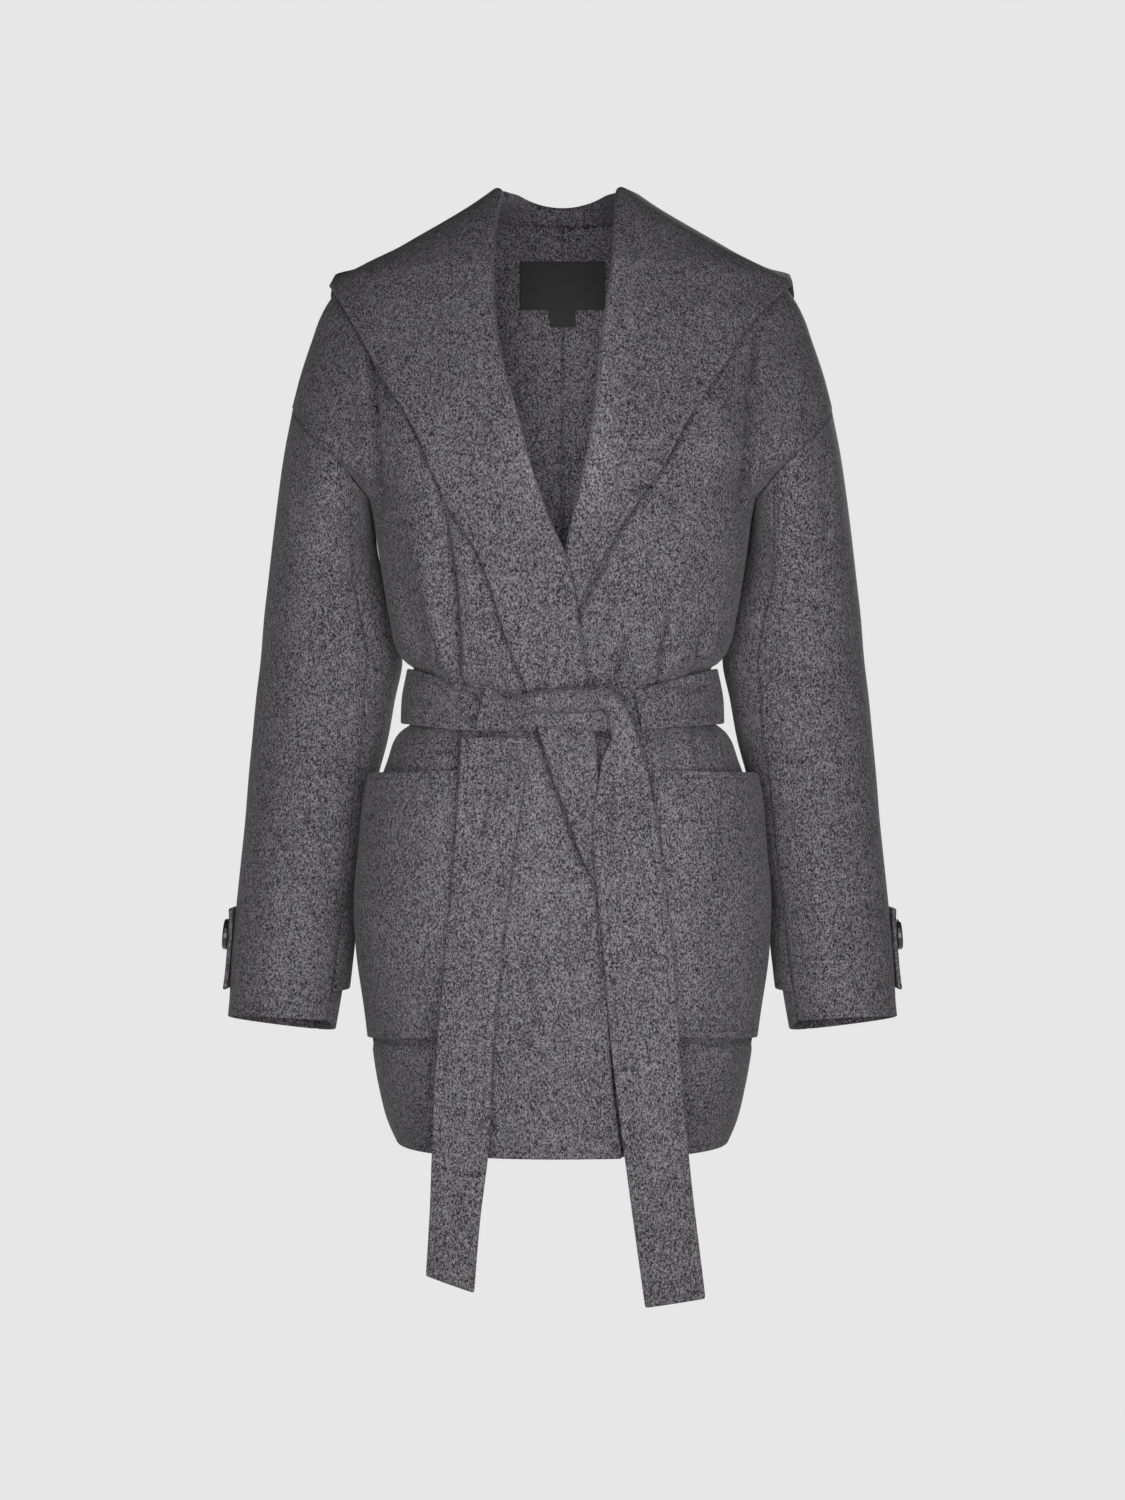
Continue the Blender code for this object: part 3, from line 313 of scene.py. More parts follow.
def crease_height(grid, creases):
    """Height of all creases on a grid of places, and how much shade is painted into the colour at each
    place in a crease's valley, 0 to 1. Each crease fades out at both ends."""
    total, crevice_shade = np.zeros(grid.shape[:-1]), np.zeros(grid.shape[:-1])
    for line, depth, width, ridge in creases:
        away, share = from_line(grid, line)
        ends = smooth(share / 0.35) * smooth((1 - share) / 0.2)
        low = np.exp(-(((away + ridge * CREASE_EDGE) / CREASE_LOW) ** 2))
        if ridge:
            step = np.tanh(away * ridge / CREASE_EDGE)
            profile = 0.7 * step * np.exp(-((away / (2.6 * width)) ** 2)) - 0.35 * low
        else:
            profile = -np.exp(-((away / width) ** 2))
        total = total + depth * ends * profile
        # painted shade: the narrow valley of a deep crease is darkened in the colour, where shadow falls
        crevice_shade = np.maximum(crevice_shade, min(depth / 4, 1) * ends * low)
    return total, crevice_shade


def tuck_height(turn, z):
    """What the belt does to the coat. turn counts quarter turns from the centre back."""
    above = z - read(BAND, "top", turn, "place")
    below = read(BAND, "foot", turn, "place") - z
    full = np.exp(-(((above - BLOUSE["above"]) / BLOUSE["above_width"]) ** 2))
    low = np.exp(-(((below - BLOUSE["below"]) / BLOUSE["below_width"]) ** 2))
    full = BLOUSE["height"] * (full + BLOUSE["below_share"] * low)
    full = full * smooth((np.abs(turn - 1) - 0.1) / 0.3)
    bite = np.exp(-((above / BITE["width"]) ** 2)) + np.exp(-((below / BITE["width"]) ** 2))
    return full - BITE["depth"] * bite


def trough_height(side, grid):
    """The shallow trough along the outside of the collar's edge."""
    table = EDGE_RIGHT if side < 0 else EDGE_LEFT
    beyond = side * grid[..., 0] - read(table, "out", grid[..., 2])
    ends = smooth((table["height"][0] - grid[..., 2]) / TROUGH["fade"])
    ends = ends * smooth((grid[..., 2] - table["height"][-1]) / TROUGH["fade"])
    return -TROUGH["depth"] * ends * np.exp(-((beyond / TROUGH["width"]) ** 2))


def coat(angle, height, part, under=False, folded=True):
    """Outer skin of the body of the coat. angle is 0 at the centre front or back and a quarter turn,
    either way, at the side. under lowers the wearer's left side where the right one crosses it."""
    angle, z = np.broadcast_arrays(np.asarray(angle, float), np.asarray(height, float))
    column = "front" if part == "front" else "back"

    radius = ring_radius(angle, read(YOKE, "half_width", z), read(YOKE, column, z), YOKE_SQUARENESS)
    from_valley = (radius * np.abs(np.sin(angle)) - read(VALLEY, "place", z)) / read(VALLEY, "spread", z)
    square = read(BODY, "squareness", z)
    body = ring_radius(angle, read(BODY, "half_width", z), read(BODY, column, z), square)
    share = smooth((YOKE_FOOT - z) / (YOKE_FOOT - ARMPIT))
    valley = read(VALLEY, "depth", z) * np.exp(-(from_valley**2)) * (1 - share)
    valley = valley * smooth(np.cos(angle) / 0.35) * (VALLEY_AT_BACK if part == "back" else 1)
    radius = radius + (body - radius) * share
    middle = read(YOKE, "middle", z) + (read(BODY, "middle", z) - read(YOKE, "middle", z)) * share

    x = radius * np.sin(angle)
    if folded and part == "back":
        radius = radius + slack(x, z) + fold_height(x, z, 0)
    elif folded:
        radius = radius + slack(x, z) + np.where(x < 0, fold_height(-x, z, -1), fold_height(x, z, 1))
    if under:
        radius = radius - sink(x, z)
    y = radius * np.cos(angle) - valley
    return np.stack([radius * np.sin(angle), (-y if part == "front" else y) + middle, z], axis=-1)


def coat_normal(angle, height, part, under=False, folded=True):
    """Unit normal of the skin, pointing out of the coat."""
    turn, drop, how = 0.004, 0.5, (part, under, folded)
    across = coat(angle + turn, height, *how) - coat(angle - turn, height, *how)
    down = coat(angle, height - drop, *how) - coat(angle, height + drop, *how)
    normal = np.cross(across, down) * (-1 if part == "front" else 1)
    return normal / np.linalg.norm(normal, axis=-1, keepdims=True)


def over_coat(angle, height, part, lift, under=False, folded=True):
    """A place on the skin, moved out by lift."""
    away = np.asarray(lift)[..., None] * coat_normal(angle, height, part, under, folded)
    return coat(angle, height, part, under, folded) + away


def angle_of(x, height, part="front", folded=True, widest=math.pi / 2):
    """The angle at which the skin has a sideways place, found by bisection."""
    x, height = np.broadcast_arrays(np.asarray(x, float), np.asarray(height, float))
    low, high = np.full(x.shape, -widest), np.full(x.shape, widest)
    for _ in range(30):
        middle = (low + high) / 2
        left_of = coat(middle, height, part, folded=folded)[..., 0] < x
        low, high = np.where(left_of, middle, low), np.where(left_of, high, middle)
    return (low + high) / 2


def on_armhole(row, part):
    """Whether rows end on the armhole seam, at which share of it, and there how far out, forward and
    high."""
    share = np.clip((ROW_AT_TOP - row) / (ROW_AT_TOP - ROW_AT_ARMPIT), 0, 1)
    found = (read(ARMHOLE, column, share, "share") for column in ("out", part, "height"))
    return (row < ROW_AT_TOP - 0.01) & (row > ROW_AT_ARMPIT + 0.01), share, *found


def row_places(u, row, part):
    """Angle and height of places on the body's rows. u is 0 at the centre and 1 or -1 at the shoulder
    seam, armhole or side seam. Rows rise towards their ends, so that they meet the armhole."""
    u, row = np.broadcast_arrays(np.asarray(u, float), np.asarray(row, float))
    on_seam, share, out, y, seam_height = on_armhole(row, part)
    ring_middle = MIDDLE_AT_ARMHOLE[0] + (MIDDLE_AT_ARMHOLE[1] - MIDDLE_AT_ARMHOLE[0]) * share
    reach = np.where(on_seam, np.arctan2(out, np.abs(y - ring_middle)), math.pi / 2)
    above = (ARMHOLE_TOP - ROW_AT_TOP) * smooth((ROWS_LEVEL_ABOVE - row) / (ROWS_LEVEL_ABOVE - ROW_AT_TOP))
    below = (ARMPIT - ROW_AT_ARMPIT) * smooth((row - ROWS_LEVEL_BELOW) / (ROW_AT_ARMPIT - ROWS_LEVEL_BELOW))
    lift = np.where(row >= ROW_AT_TOP, above, np.where(on_seam, seam_height - row, below))
    return u * reach, row + lift * smooth((np.abs(u) - 0.3) / 0.7)


def collar_return(side, height):
    """Width of the strip of collar behind the roll line."""
    foot = LAPEL_FOOT_RIGHT if side < 0 else LAPEL_FOOT_LEFT
    share = smooth((np.asarray(height, float) - foot) / RETURN["fade"])
    return RETURN["foot_width"] + (RETURN["width"] - RETURN["foot_width"]) * share


def front_edge(side, height):
    """How far out the inner edge of a front lies: at the collar's seam, or its own free edge."""
    roll = ROLL_RIGHT if side < 0 else ROLL_LEFT
    foot = LAPEL_FOOT_RIGHT if side < 0 else LAPEL_FOOT_LEFT
    height = np.asarray(height, float)
    shoulder = read(YOKE, "half_width", height) - SHOULDER_MARGIN
    seam = np.minimum(read(roll, "out", height) + collar_return(side, height), shoulder)
    above = height > FREE_EDGE["height"][0]
    free = np.where(above, read(roll, "out", height), read(FREE_EDGE, "out", height))
    return np.where(height > foot - 1, seam, free)


def unit(vectors):
    return vectors / np.maximum(np.linalg.norm(vectors, axis=-1, keepdims=True), 1e-9)


def grid_normals(grid, outwards):
    """Unit normals of a grid of points. outwards is a rough direction, for their sign alone."""
    normals = unit(np.cross(np.gradient(grid, axis=0), np.gradient(grid, axis=1)))
    return normals * np.sign(np.sum(normals * outwards))


def steps_along(grid, axis):
    """Running length along the rows (axis 1) or the columns (axis 0) of a grid."""
    gaps = np.linalg.norm(np.diff(grid, axis=axis), axis=-1)
    first = np.zeros_like(np.take(gaps, [0], axis=axis))
    return np.cumsum(np.concatenate([first, gaps], axis=axis), axis=axis)


def edge_places(grid, finished):
    """How far each point lies from the nearest finished edge, and its place along that edge."""
    down, across = steps_along(grid, 0), steps_along(grid, 1)
    from_edge = np.full(grid.shape[:2], 1000.0)
    along = np.zeros(grid.shape[:2])
    found = dict(top=(down, across), foot=(down[-1:] - down, across), start=(across, down))
    found["end"] = (across[:, -1:] - across, down)
    for edge in finished:
        away, place = found[edge]
        along = np.where(away < from_edge, place, along)
        from_edge = np.minimum(away, from_edge)
    return from_edge, along


RIM_STEPS = 4


def shell(name, outer, normals, thickness, finished=(), sewn=(), crevice_shade=None, overlap=0.2):
    """Closed cloth between an outer grid and the one a thickness below it, round at its edges, which
    reach overlap beyond the grid. finished names the edges that are turned and closed by a line of
    stitching, sewn those that are joined to the next piece. The crease mask, 0 to 1, says how much
    shade is painted into the colour where creases are deep."""
    rows, columns = outer.shape[:2]
    radius = thickness / 2
    away = np.zeros_like(outer)
    away[0] += unit(outer[0] - outer[1])
    away[-1] += unit(outer[-1] - outer[-2])
    away[:, 0] += unit(outer[:, 0] - outer[:, 1])
    away[:, -1] += unit(outer[:, -1] - outer[:, -2])
    outer = outer - away * (radius - overlap)
    inner = outer - thickness * normals
    points = [outer.reshape(-1, 3), inner.reshape(-1, 3)]
    index = np.arange(rows * columns).reshape(rows, columns)
    ring = np.concatenate([index[0, :-1], index[:-1, -1], index[-1, :0:-1], index[:0:-1, 0]])
    out = unit(away.reshape(-1, 3)[ring] + 1e-9)
    middle = (outer.reshape(-1, 3)[ring] + inner.reshape(-1, 3)[ring]) / 2
    loops = [ring]
    for k in range(1, RIM_STEPS):
        turn = math.pi * k / RIM_STEPS
        rim = middle + radius * (math.cos(turn) * normals.reshape(-1, 3)[ring] + math.sin(turn) * out)
        loops.append(2 * rows * columns + (k - 1) * len(ring) + np.arange(len(ring)))
        points.append(rim)
    loops.append(ring + rows * columns)

    a, b, c, d = index[:-1, :-1], index[:-1, 1:], index[1:, 1:], index[1:, :-1]
    skin = np.stack([a, b, c, d], axis=-1).reshape(-1, 4)
    faces = [skin, skin[:, ::-1] + rows * columns]
    for upper, lower in zip(loops, loops[1:]):
        faces.append(np.stack([np.roll(upper, -1), upper, lower, np.roll(lower, -1)], axis=-1))
    points, faces = np.concatenate(points), np.concatenate(faces)
    facing = np.cross(points[skin[0, 1]] - points[skin[0, 0]], points[skin[0, 3]] - points[skin[0, 0]])
    if np.dot(facing, normals[0, 0]) < 0:
        faces = faces[:, ::-1]

    from_edge, along = edge_places(outer, finished)
    from_seam, along_seam = edge_places(outer, sewn)
    along = np.where(from_seam < from_edge, along_seam, along)
    crevice_shade = np.zeros(outer.shape[:2]) if crevice_shade is None else crevice_shade
    all_round = {}
    attributes = dict(from_edge=from_edge, from_seam=from_seam, along_edge=along, crevice_shade=crevice_shade)
    for key, values in attributes.items():
        values = values.ravel()
        all_round[key] = np.concatenate([values, values, *[values[ring]] * (RIM_STEPS - 1)])
    return make(name, points, faces, **all_round)


def make(name, points, faces, **attributes):
    """A smooth-shaded mesh object from points in millimetres, riding on the coat."""
    mesh = bpy.data.meshes.new(name)
    mesh.from_pydata((np.asarray(points) / 1000).tolist(), [], [tuple(map(int, face)) for face in faces])
    mesh.shade_smooth()
    for key, values in attributes.items():
        mesh.attributes.new(key, "FLOAT", "POINT").data.foreach_set("value", values.astype(np.float32))
    made = bpy.data.objects.new(name, mesh)
    bpy.context.scene.collection.objects.link(made)
    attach(made, "root")
    return made


class Strand:
    """A value in a finish's nodes. Sums, differences and products of strands add their Math nodes."""

    def __init__(self, finish, socket):
        self.finish, self.socket = finish, socket

    def maths(self, operation, *values):
        return self.finish.node("ShaderNodeMath", dict(operation=operation), dict(enumerate(values)))

    def __add__(self, other):
        return self.maths("ADD", self, other)

    def __sub__(self, other):
        return self.maths("SUBTRACT", self, other)

    def __rsub__(self, other):
        return self.maths("SUBTRACT", other, self)

    def __mul__(self, other):
        return self.maths("MULTIPLY", self, other)

    __radd__, __rmul__ = __add__, __mul__

    def near(self, place, width):
        """1 at a place, falling softly to 0 at width from it."""
        away = self - place
        away = away.maths("ABSOLUTE", away)
        limits = {"Value": away, "From Min": 0.0, "From Max": width, "To Min": 1.0, "To Max": 0.0}
        return self.finish.node("ShaderNodeMapRange", dict(interpolation_type="SMOOTHSTEP"), limits)


class Finish:
    """A material, as its maker would mix it. Plain numbers go on the shader's own sockets."""

    def __init__(self, name, **constants):
        self.material = bpy.data.materials.new(name)
        self.material.use_nodes = True
        self.nodes = self.material.node_tree.nodes
        self.shader = self.nodes["Principled BSDF"]
        self.set(self.shader, {key.replace("_", " "): value for key, value in constants.items()})

    def set(self, node, values):
        for key, value in values.items():
            if isinstance(value, Strand):
                self.material.node_tree.links.new(value.socket, node.inputs[key])
            elif isinstance(value, tuple) and len(value) == 3 and node.inputs[key].type == "RGBA":
                node.inputs[key].default_value = (*value, 1.0)
            else:
                node.inputs[key].default_value = value

    def node(self, kind, settings, values, out=0):
        made = self.nodes.new(kind)
        for key, value in settings.items():
            if key == "stops":
                for stop, (place, colour) in zip(made.color_ramp.elements, value):
                    stop.position, stop.color = place, (*colour, 1.0)
            else:
                setattr(made, key, value)
        self.set(made, values)
        return Strand(self, made.outputs[out])

    def noise(self, place, scale, detail, roughness=0.5, distortion=0.0):
        values = {"Vector": place, "Scale": scale, "Detail": detail}
        values.update({"Roughness": roughness, "Distortion": distortion})
        return self.node("ShaderNodeTexNoise", dict(noise_dimensions="3D"), values)

    def dress(self, made):
        made.data.materials.clear()
        made.data.materials.append(self.material)


def heather_wool(name, dark, light):
    """Milled wool of dark and pale fibres: a fine pepper-and-salt mix with a short nap, a faint warm or
    cold cast from place to place, seams that sink in and edges closed by hand. Its colour is darkened
    in the grooves of seams and stitching and in the valleys of creases: painted shade."""
    cloth = Finish(name, Roughness=0.95, Sheen_Weight=0.12, Sheen_Roughness=0.5, Specular_IOR_Level=0.1)
    place = cloth.node("ShaderNodeTexCoord", {}, {}, "Object")
    lying = cloth.node("ShaderNodeMapping", {}, {"Vector": place, "Scale": (1.0, 1.0, 0.7)})
    fibres = cloth.noise(lying, 1150.0, 2.0, 0.75, 1.0)
    flecks = cloth.noise(lying, 700.0, 1.0, 0.5, 0.5)
    tufts = cloth.noise(lying, 230.0, 2.0, 0.5)
    clouds = cloth.noise(place, 26.0, 2.0, 0.5)
    tone = 1.5 * fibres + 0.8 * flecks + 0.22 * tufts + 0.1 * clouds - 0.82
    colour = cloth.node("ShaderNodeValToRGB", dict(stops=((0.35, dark), (0.72, light))), {"Fac": tone})
    cast = cloth.noise(place, 75.0, 3.0, 0.6)
    casts = dict(stops=((0.36, (1.035, 0.98, 1.0)), (0.64, (0.975, 1.0, 1.02))))
    cast = cloth.node("ShaderNodeValToRGB", casts, {"Fac": cast})
    blend = dict(data_type="RGBA", blend_type="MULTIPLY")
    colour = cloth.node("ShaderNodeMix", blend, {0: 1.0, 6: colour, 7: cast}, 2)

    from_edge, from_seam, along, crevice_shade = (
        cloth.node("ShaderNodeAttribute", dict(attribute_name=key), {}, "Fac")
        for key in ("from_edge", "from_seam", "along_edge", "crevice_shade")
    )
    phase = along * (2 * math.pi / STITCH)
    stitches = 0.7 + 0.3 * phase.maths("SINE", phase)
    groove = from_edge.near(EDGE_STITCHING, 1.3) * stitches + from_seam.near(0.0, 1.8)
    groove = groove + 0.5 * from_seam.near(FELLING, 1.1) * stitches
    height = 0.4 * fibres + 0.3 * flecks - 0.9 * groove
    relief = {"Strength": 0.6, "Distance": 0.0007, "Height": height}
    # painted shade: the colour is darkened in the grooves of seams and stitching and in the valleys of
    # creases
    shade = {0: 0.4 * groove + 0.6 * crevice_shade, 6: colour, 7: (0.25, 0.25, 0.25)}
    shade = cloth.node("ShaderNodeMix", blend, shade, 2)
    cloth.set(cloth.shader, {"Base Color": shade, "Normal": cloth.node("ShaderNodeBump", {}, relief)})
    return cloth


WOOL = heather_wool("heather wool", dark=(0.013, 0.012, 0.0135), light=(0.245, 0.235, 0.246))


def show(piece, node, **cut):
    """Shows a piece of wool in place of its solid. The sheet that it was cut from, given in cut, is not
    used.
    """
    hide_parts(node)
    WOOL.dress(piece)


ARMHOLE_STEPS = 44
ARMHOLE_ROWS = list(np.linspace(ROW_AT_TOP, ROW_AT_ARMPIT, ARMHOLE_STEPS + 1))
SHOULDER_ROWS = list(np.linspace(NECK_SEAM, -169, 48))
LOWER_ROWS = list(np.linspace(-261, -789, 150))
FRONT_COLUMNS, BACK_COLUMNS = 150, 120


def panel_grid(side, part):
    """Rows, skin and normals of a front or a back, from its inner edge to the shoulder, armhole and side
    seam. Its armhole end is drawn to the armhole's table."""
    rows, columns = SHOULDER_ROWS + ARMHOLE_ROWS + LOWER_ROWS + [HEM], BACK_COLUMNS
    under = part == "front" and side > 0
    if part == "front":
        foot = LAPEL_FOOT_RIGHT if side < 0 else LAPEL_FOOT_LEFT
        columns = FRONT_COLUMNS
        rows = [row for row in rows if abs(row - foot) > 2] + [foot, foot - 1.5]
    rows = np.array(sorted(rows, reverse=True))
    start = angle_of(side * (front_edge(side, rows) if part == "front" else 0 * rows), rows, part)
    start = (start / row_places(1, rows, part)[0])[:, None]
    u = start + (side - start) * np.linspace(0, 1, columns)
    angle, height = row_places(u, rows[:, None], part)
    grid = coat(angle, height, part, under)

    on_seam, _, out, y, level = on_armhole(rows, part)
    drawn = np.stack([side * out, y, level], axis=-1) - grid[:, -1]
    towards = (smooth((np.abs(u) - 0.5) / 0.5) * on_seam[:, None])[..., None]
    grid = grid + drawn[:, None] * towards
    outwards = np.array([0.0, -1.0 if part == "front" else 1.0, 0.0])
    lift, crevice_shade = crease_height(grid, CREASES[part, side])
    turn = np.abs(angle) / (math.pi / 2)
    lift = lift + tuck_height(2 - turn if part == "front" else turn, grid[..., 2])
    if part == "front":
        trough = trough_height(side, grid)
        # painted shade: the trough beside the collar's edge also darkens the colour there
        lift, crevice_shade = lift + trough, np.maximum(crevice_shade, -0.25 * trough)
    grid = grid + lift[..., None] * grid_normals(grid, outwards)
    return rows, grid, grid_normals(grid, outwards), crevice_shade


# Cut of each front and back: width and length of the cloth that it is cut from, and its area
CUT = dict(front=dict(flat=(0.34, 0.80), area=0.180), back=dict(flat=(0.30, 0.80), area=0.188))

panels = {}
for part in ("front", "back"):
    for side, name in ((-1, "right"), (1, "left")):
        rows, grid, normals, crevice_shade = panels[part, side] = panel_grid(side, part)
        finished = ("foot", "start") if part == "front" else ("foot",)
        sewn = ("top", "end") if part == "front" else ("top", "start", "end")
        panel = shell(part + "_panel_" + name, grid, normals, WALL, finished, sewn, crevice_shade)
        show(panel, part + "_" + name, held="hung", **CUT[part])

# --- Sleeves --------------------------------------------------------------------------------------
# Two-piece sleeves set low on the dropped shoulder. The seams run down the front and back of the
# inner arm, and the cuff's edge is turned and closed by hand.

# The sleeve: its outer and inner side, its middle from front to back, half its depth
SLEEVE = dict(
    height=(-174, -212, -251, -285, -320, -353, -387, -421, -455, -490, -523, -557, -591, -640, -676, -700),
    outer=(232, 239, 244, 248, 252, 256, 259, 263, 266, 269, 271, 274, 277, 281, 282, 284),
    inner=(163, 163, 163, 160, 152, 142, 137.5, 144, 150, 159, 165, 170, 176.5, 183, 188, 192),
    middle=(0, 1, 4, 12, 20, 25, 27, 27, 25, 22, 17, 12, 7, 0, -6, -10),
    half_depth=(74, 74, 73, 71, 69, 68, 67, 66, 65, 63, 62, 60, 59, 57, 55, 54),
)
CUFF = dict(height=-694.5, inner_fall=5.0, back_fall=8.0)  # its rim hangs lower inside and at the back
# Down this share of its length the sleeve turns from the armhole's loop into its own section
HEAD = dict(share=0.34, less_inside=0.22)
FRONT_SLEEVE_SEAM = dict(height=(-174, -380, -540, -700), angle=(121, 124, 143, 150))
BACK_SLEEVE_SEAM = dict(height=(-174, -380, -540, -700), angle=(121, 122, 124, 126))


def arm(angle, height, side):
    """The sleeve's section at a height. angle runs from the outer side (0) over the front."""
    outer, inner = read(SLEEVE, "outer", height), read(SLEEVE, "inner", height)
    x = (outer + inner) / 2 + (outer - inner) / 2 * np.cos(angle)
    y = read(SLEEVE, "middle", height) - read(SLEEVE, "half_depth", height) * np.sin(angle)
    return np.stack([side * x, y, height + 0 * x], axis=-1)


# Creases of the sleeve on its front (-1) and its back (1), as on the fronts, for the wearer's left arm
SLEEVE_CREASES = {
    -1: (
        (((168, -262), (176, -320), (186, -385)), 1.6, 7.0, 1),
        (((150, -400), (178, -428), (214, -440)), 2.2, 7.5, -1),
        (((155, -455), (186, -470), (228, -462)), 1.8, 8.5, 1),
        (((170, -500), (196, -530), (236, -548)), 1.6, 8.0, 1),
        (((226, -300), (240, -350), (238, -410)), 1.3, 9.0, -1),
        (((200, -560), (222, -590), (262, -598)), 1.4, 7.0, -1),
        (((212, -186), (224, -232), (222, -300)), 1.5, 8.0, 1),
    ),
    1: (
        (((165, -268), (184, -318), (196, -380)), 2.4, 7.0, 1),
        (((152, -392), (190, -418), (240, -424)), 2.6, 7.0, 1),
        (((156, -440), (192, -452), (236, -474)), 2.2, 7.5, -1),
        (((168, -490), (206, -500), (248, -526)), 2.0, 8.0, 1),
        (((222, -260), (232, -330), (226, -392)), 1.6, 9.0, -1),
        (((186, -560), (214, -566), (250, -585)), 1.6, 7.0, -1),
    ),
}
RIGHT_SLEEVE_SHARE = 0.8  # the wearer's right sleeve is creased a little less
SLEEVE_SEAM = int(0.7 * ARMHOLE_STEPS)


def armhole(side):
    """The armhole seam once round, through the ends of the body's rows, and the skin's normals there."""
    points, normals = [], []
    for part in ("front", "back"):
        rows, grid, turned, _ = panels[part, side]
        on_seam = np.isin(rows, ARMHOLE_ROWS)
        half = np.s_[:] if part == "front" else np.s_[-2:0:-1]
        points.append(grid[on_seam, -1][half])
        normals.append(turned[on_seam, -1][half])
    return np.concatenate(points), np.concatenate(normals)


def ring_normals(points):
    around = np.roll(points, -1, axis=1) - np.roll(points, 1, axis=1)
    return unit(np.cross(around, np.gradient(points, axis=0)))


def sleeve_grid(side, rows=130):
    """Skin of the whole sleeve, rows from armhole to cuff, columns once round, and its normals."""
    columns = 2 * ARMHOLE_STEPS
    angles = 2 * math.pi * np.arange(columns) / columns
    half = np.minimum(angles, 2 * math.pi - angles)
    loop, loop_normals = armhole(side)
    foot = CUFF["height"] + CUFF["inner_fall"] * np.cos(angles) + CUFF["back_fall"] * np.sin(angles)
    length = HEAD["share"] - HEAD["less_inside"] * smooth((np.degrees(half) - 90) / 70)
    seam_at = angles[SLEEVE_SEAM]
    points = []
    for t in np.linspace(0, 1, rows) ** 1.12:
        z = loop[:, 2] + (foot - loop[:, 2]) * t
        front_seam, back_seam = read(FRONT_SLEEVE_SEAM, "angle", z), read(BACK_SLEEVE_SEAM, "angle", z)
        seam = np.radians(np.where(angles < math.pi, front_seam, back_seam))
        seam = seam_at + (seam - seam_at) * smooth(t / 0.25)
        above = half / seam_at * seam
        below = seam + (half - seam_at) / (math.pi - seam_at) * (math.pi - seam)
        turned = np.where(half < seam_at, above, below)
        turned = np.where(angles < math.pi, turned, 2 * math.pi - turned)
        away = loop - arm(angles, loop[:, 2], side)
        points.append(arm(turned, z, side) + away * (1 - smooth(t / length))[:, None])
    points = np.array(points)
    normals = ring_normals(points)
    outwards = np.sum(normals * (points - points.mean(axis=1, keepdims=True)), axis=-1).mean()
    normals = normals * np.sign(outwards)
    free = smooth(np.linspace(0, 1, rows) / 0.06)[:, None]
    for facing, creases in SLEEVE_CREASES.items():
        own_side = smooth(facing * normals[..., 1] / 0.5) * free
        uneven = RIGHT_SLEEVE_SHARE if side < 0 else 1.0
        lift = uneven * own_side * crease_height(points * (side, 1, 1), creases)[0]
        points = points + lift[..., None] * normals
    turned = ring_normals(points)
    normals = turned * np.sign(np.sum(turned * normals))
    share = smooth((np.degrees(half) - 80) / 60)[:, None]
    normals[0] = unit(loop_normals + (normals[0] - loop_normals) * share)
    return points, normals


SLEEVE_CUT = dict(
    sleeve_top_=dict(flat=(0.29, 0.54), area=0.125), sleeve_under_=dict(flat=(0.14, 0.47), area=0.050)
)

for side, name in ((-1, "right"), (1, "left")):
    points, normals = sleeve_grid(side)
    count = points.shape[1]
    top = [(k - SLEEVE_SEAM) % count for k in range(2 * SLEEVE_SEAM + 1)]
    under = [SLEEVE_SEAM + k for k in range(count - 2 * SLEEVE_SEAM + 1)]
    for piece, columns in (("sleeve_top_", top), ("sleeve_under_", under)):
        cut = points[:, columns], normals[:, columns]
        sleeve = shell(piece + "cloth_" + name, *cut, WALL, ("foot",), ("top", "start", "end"))
        on = ["front_" + name, "back_" + name]
        show(sleeve, piece + name, held="hung", rests_on=on, **SLEEVE_CUT[piece])

# --- Collar ---------------------------------------------------------------------------------------
# One wide shawl collar in a single layer of the same wool, sewn to the neck and fronts behind its
# roll line. It turns over itself and lies on the shoulders as a cape with two pointed tips.

COLLAR_TIP = -68.0
COLLAR_BACK_DEPTH = -138.0  # height of the collar's edge at the centre back
ROLL_TOP = dict(back=10.5, side=5.0)  # height of the roll line behind the neck and beside it
# How far the collar's face stands off the coat: at the roll and out on the fall, where it is loose
# round the neck and where the wrap presses it flat
ROLL_LIFT = dict(loose=8.0, pressed=5.2)
FALL_LIFT = dict(loose=6.8, pressed=4.8)
PRESSED = dict(top=-140.0, foot=-290.0)
EDGE_RISE = 2.4  # its free edge stands up a little more
ROLL_CREST = 5.0  # the roll is highest halfway between the centre back and the side
TIP_PULL = dict(out=5.0, up=0.5, reach=11.0)  # the tips are drawn to a sharp point


def collar_stations(side, count=130):
    """For each station down one front: height of its roll, height of its edge."""
    if side < 0:
        roll = (5, -15, -48, -80, -140, -188, -238, -284, -307, -360, -414, -456, -489, -528)
        edge = (-78, -92, -121, -150, -194, -235, -279, -307, -325, -370, -418, -458, -492, -530)
        foot = LAPEL_FOOT_RIGHT
    else:
        roll = (5, -15, -48, -80, -111, -150, -188, -238, -284, -307, -345, -385, -412)
        edge = (-78, -92, -120, -142, -165, -200, -232, -268, -305, -325, -358, -392, -416)
        foot = LAPEL_FOOT_LEFT
    table = dict(height=range(len(roll) + 1), roll=(*roll, foot), edge=(*edge, foot + 0.5))
    at = np.linspace(0, len(roll), count)
    return read(table, "roll", at), read(table, "edge", at)


def dot(first, second):
    return np.sum(first * second, axis=-1, keepdims=True)


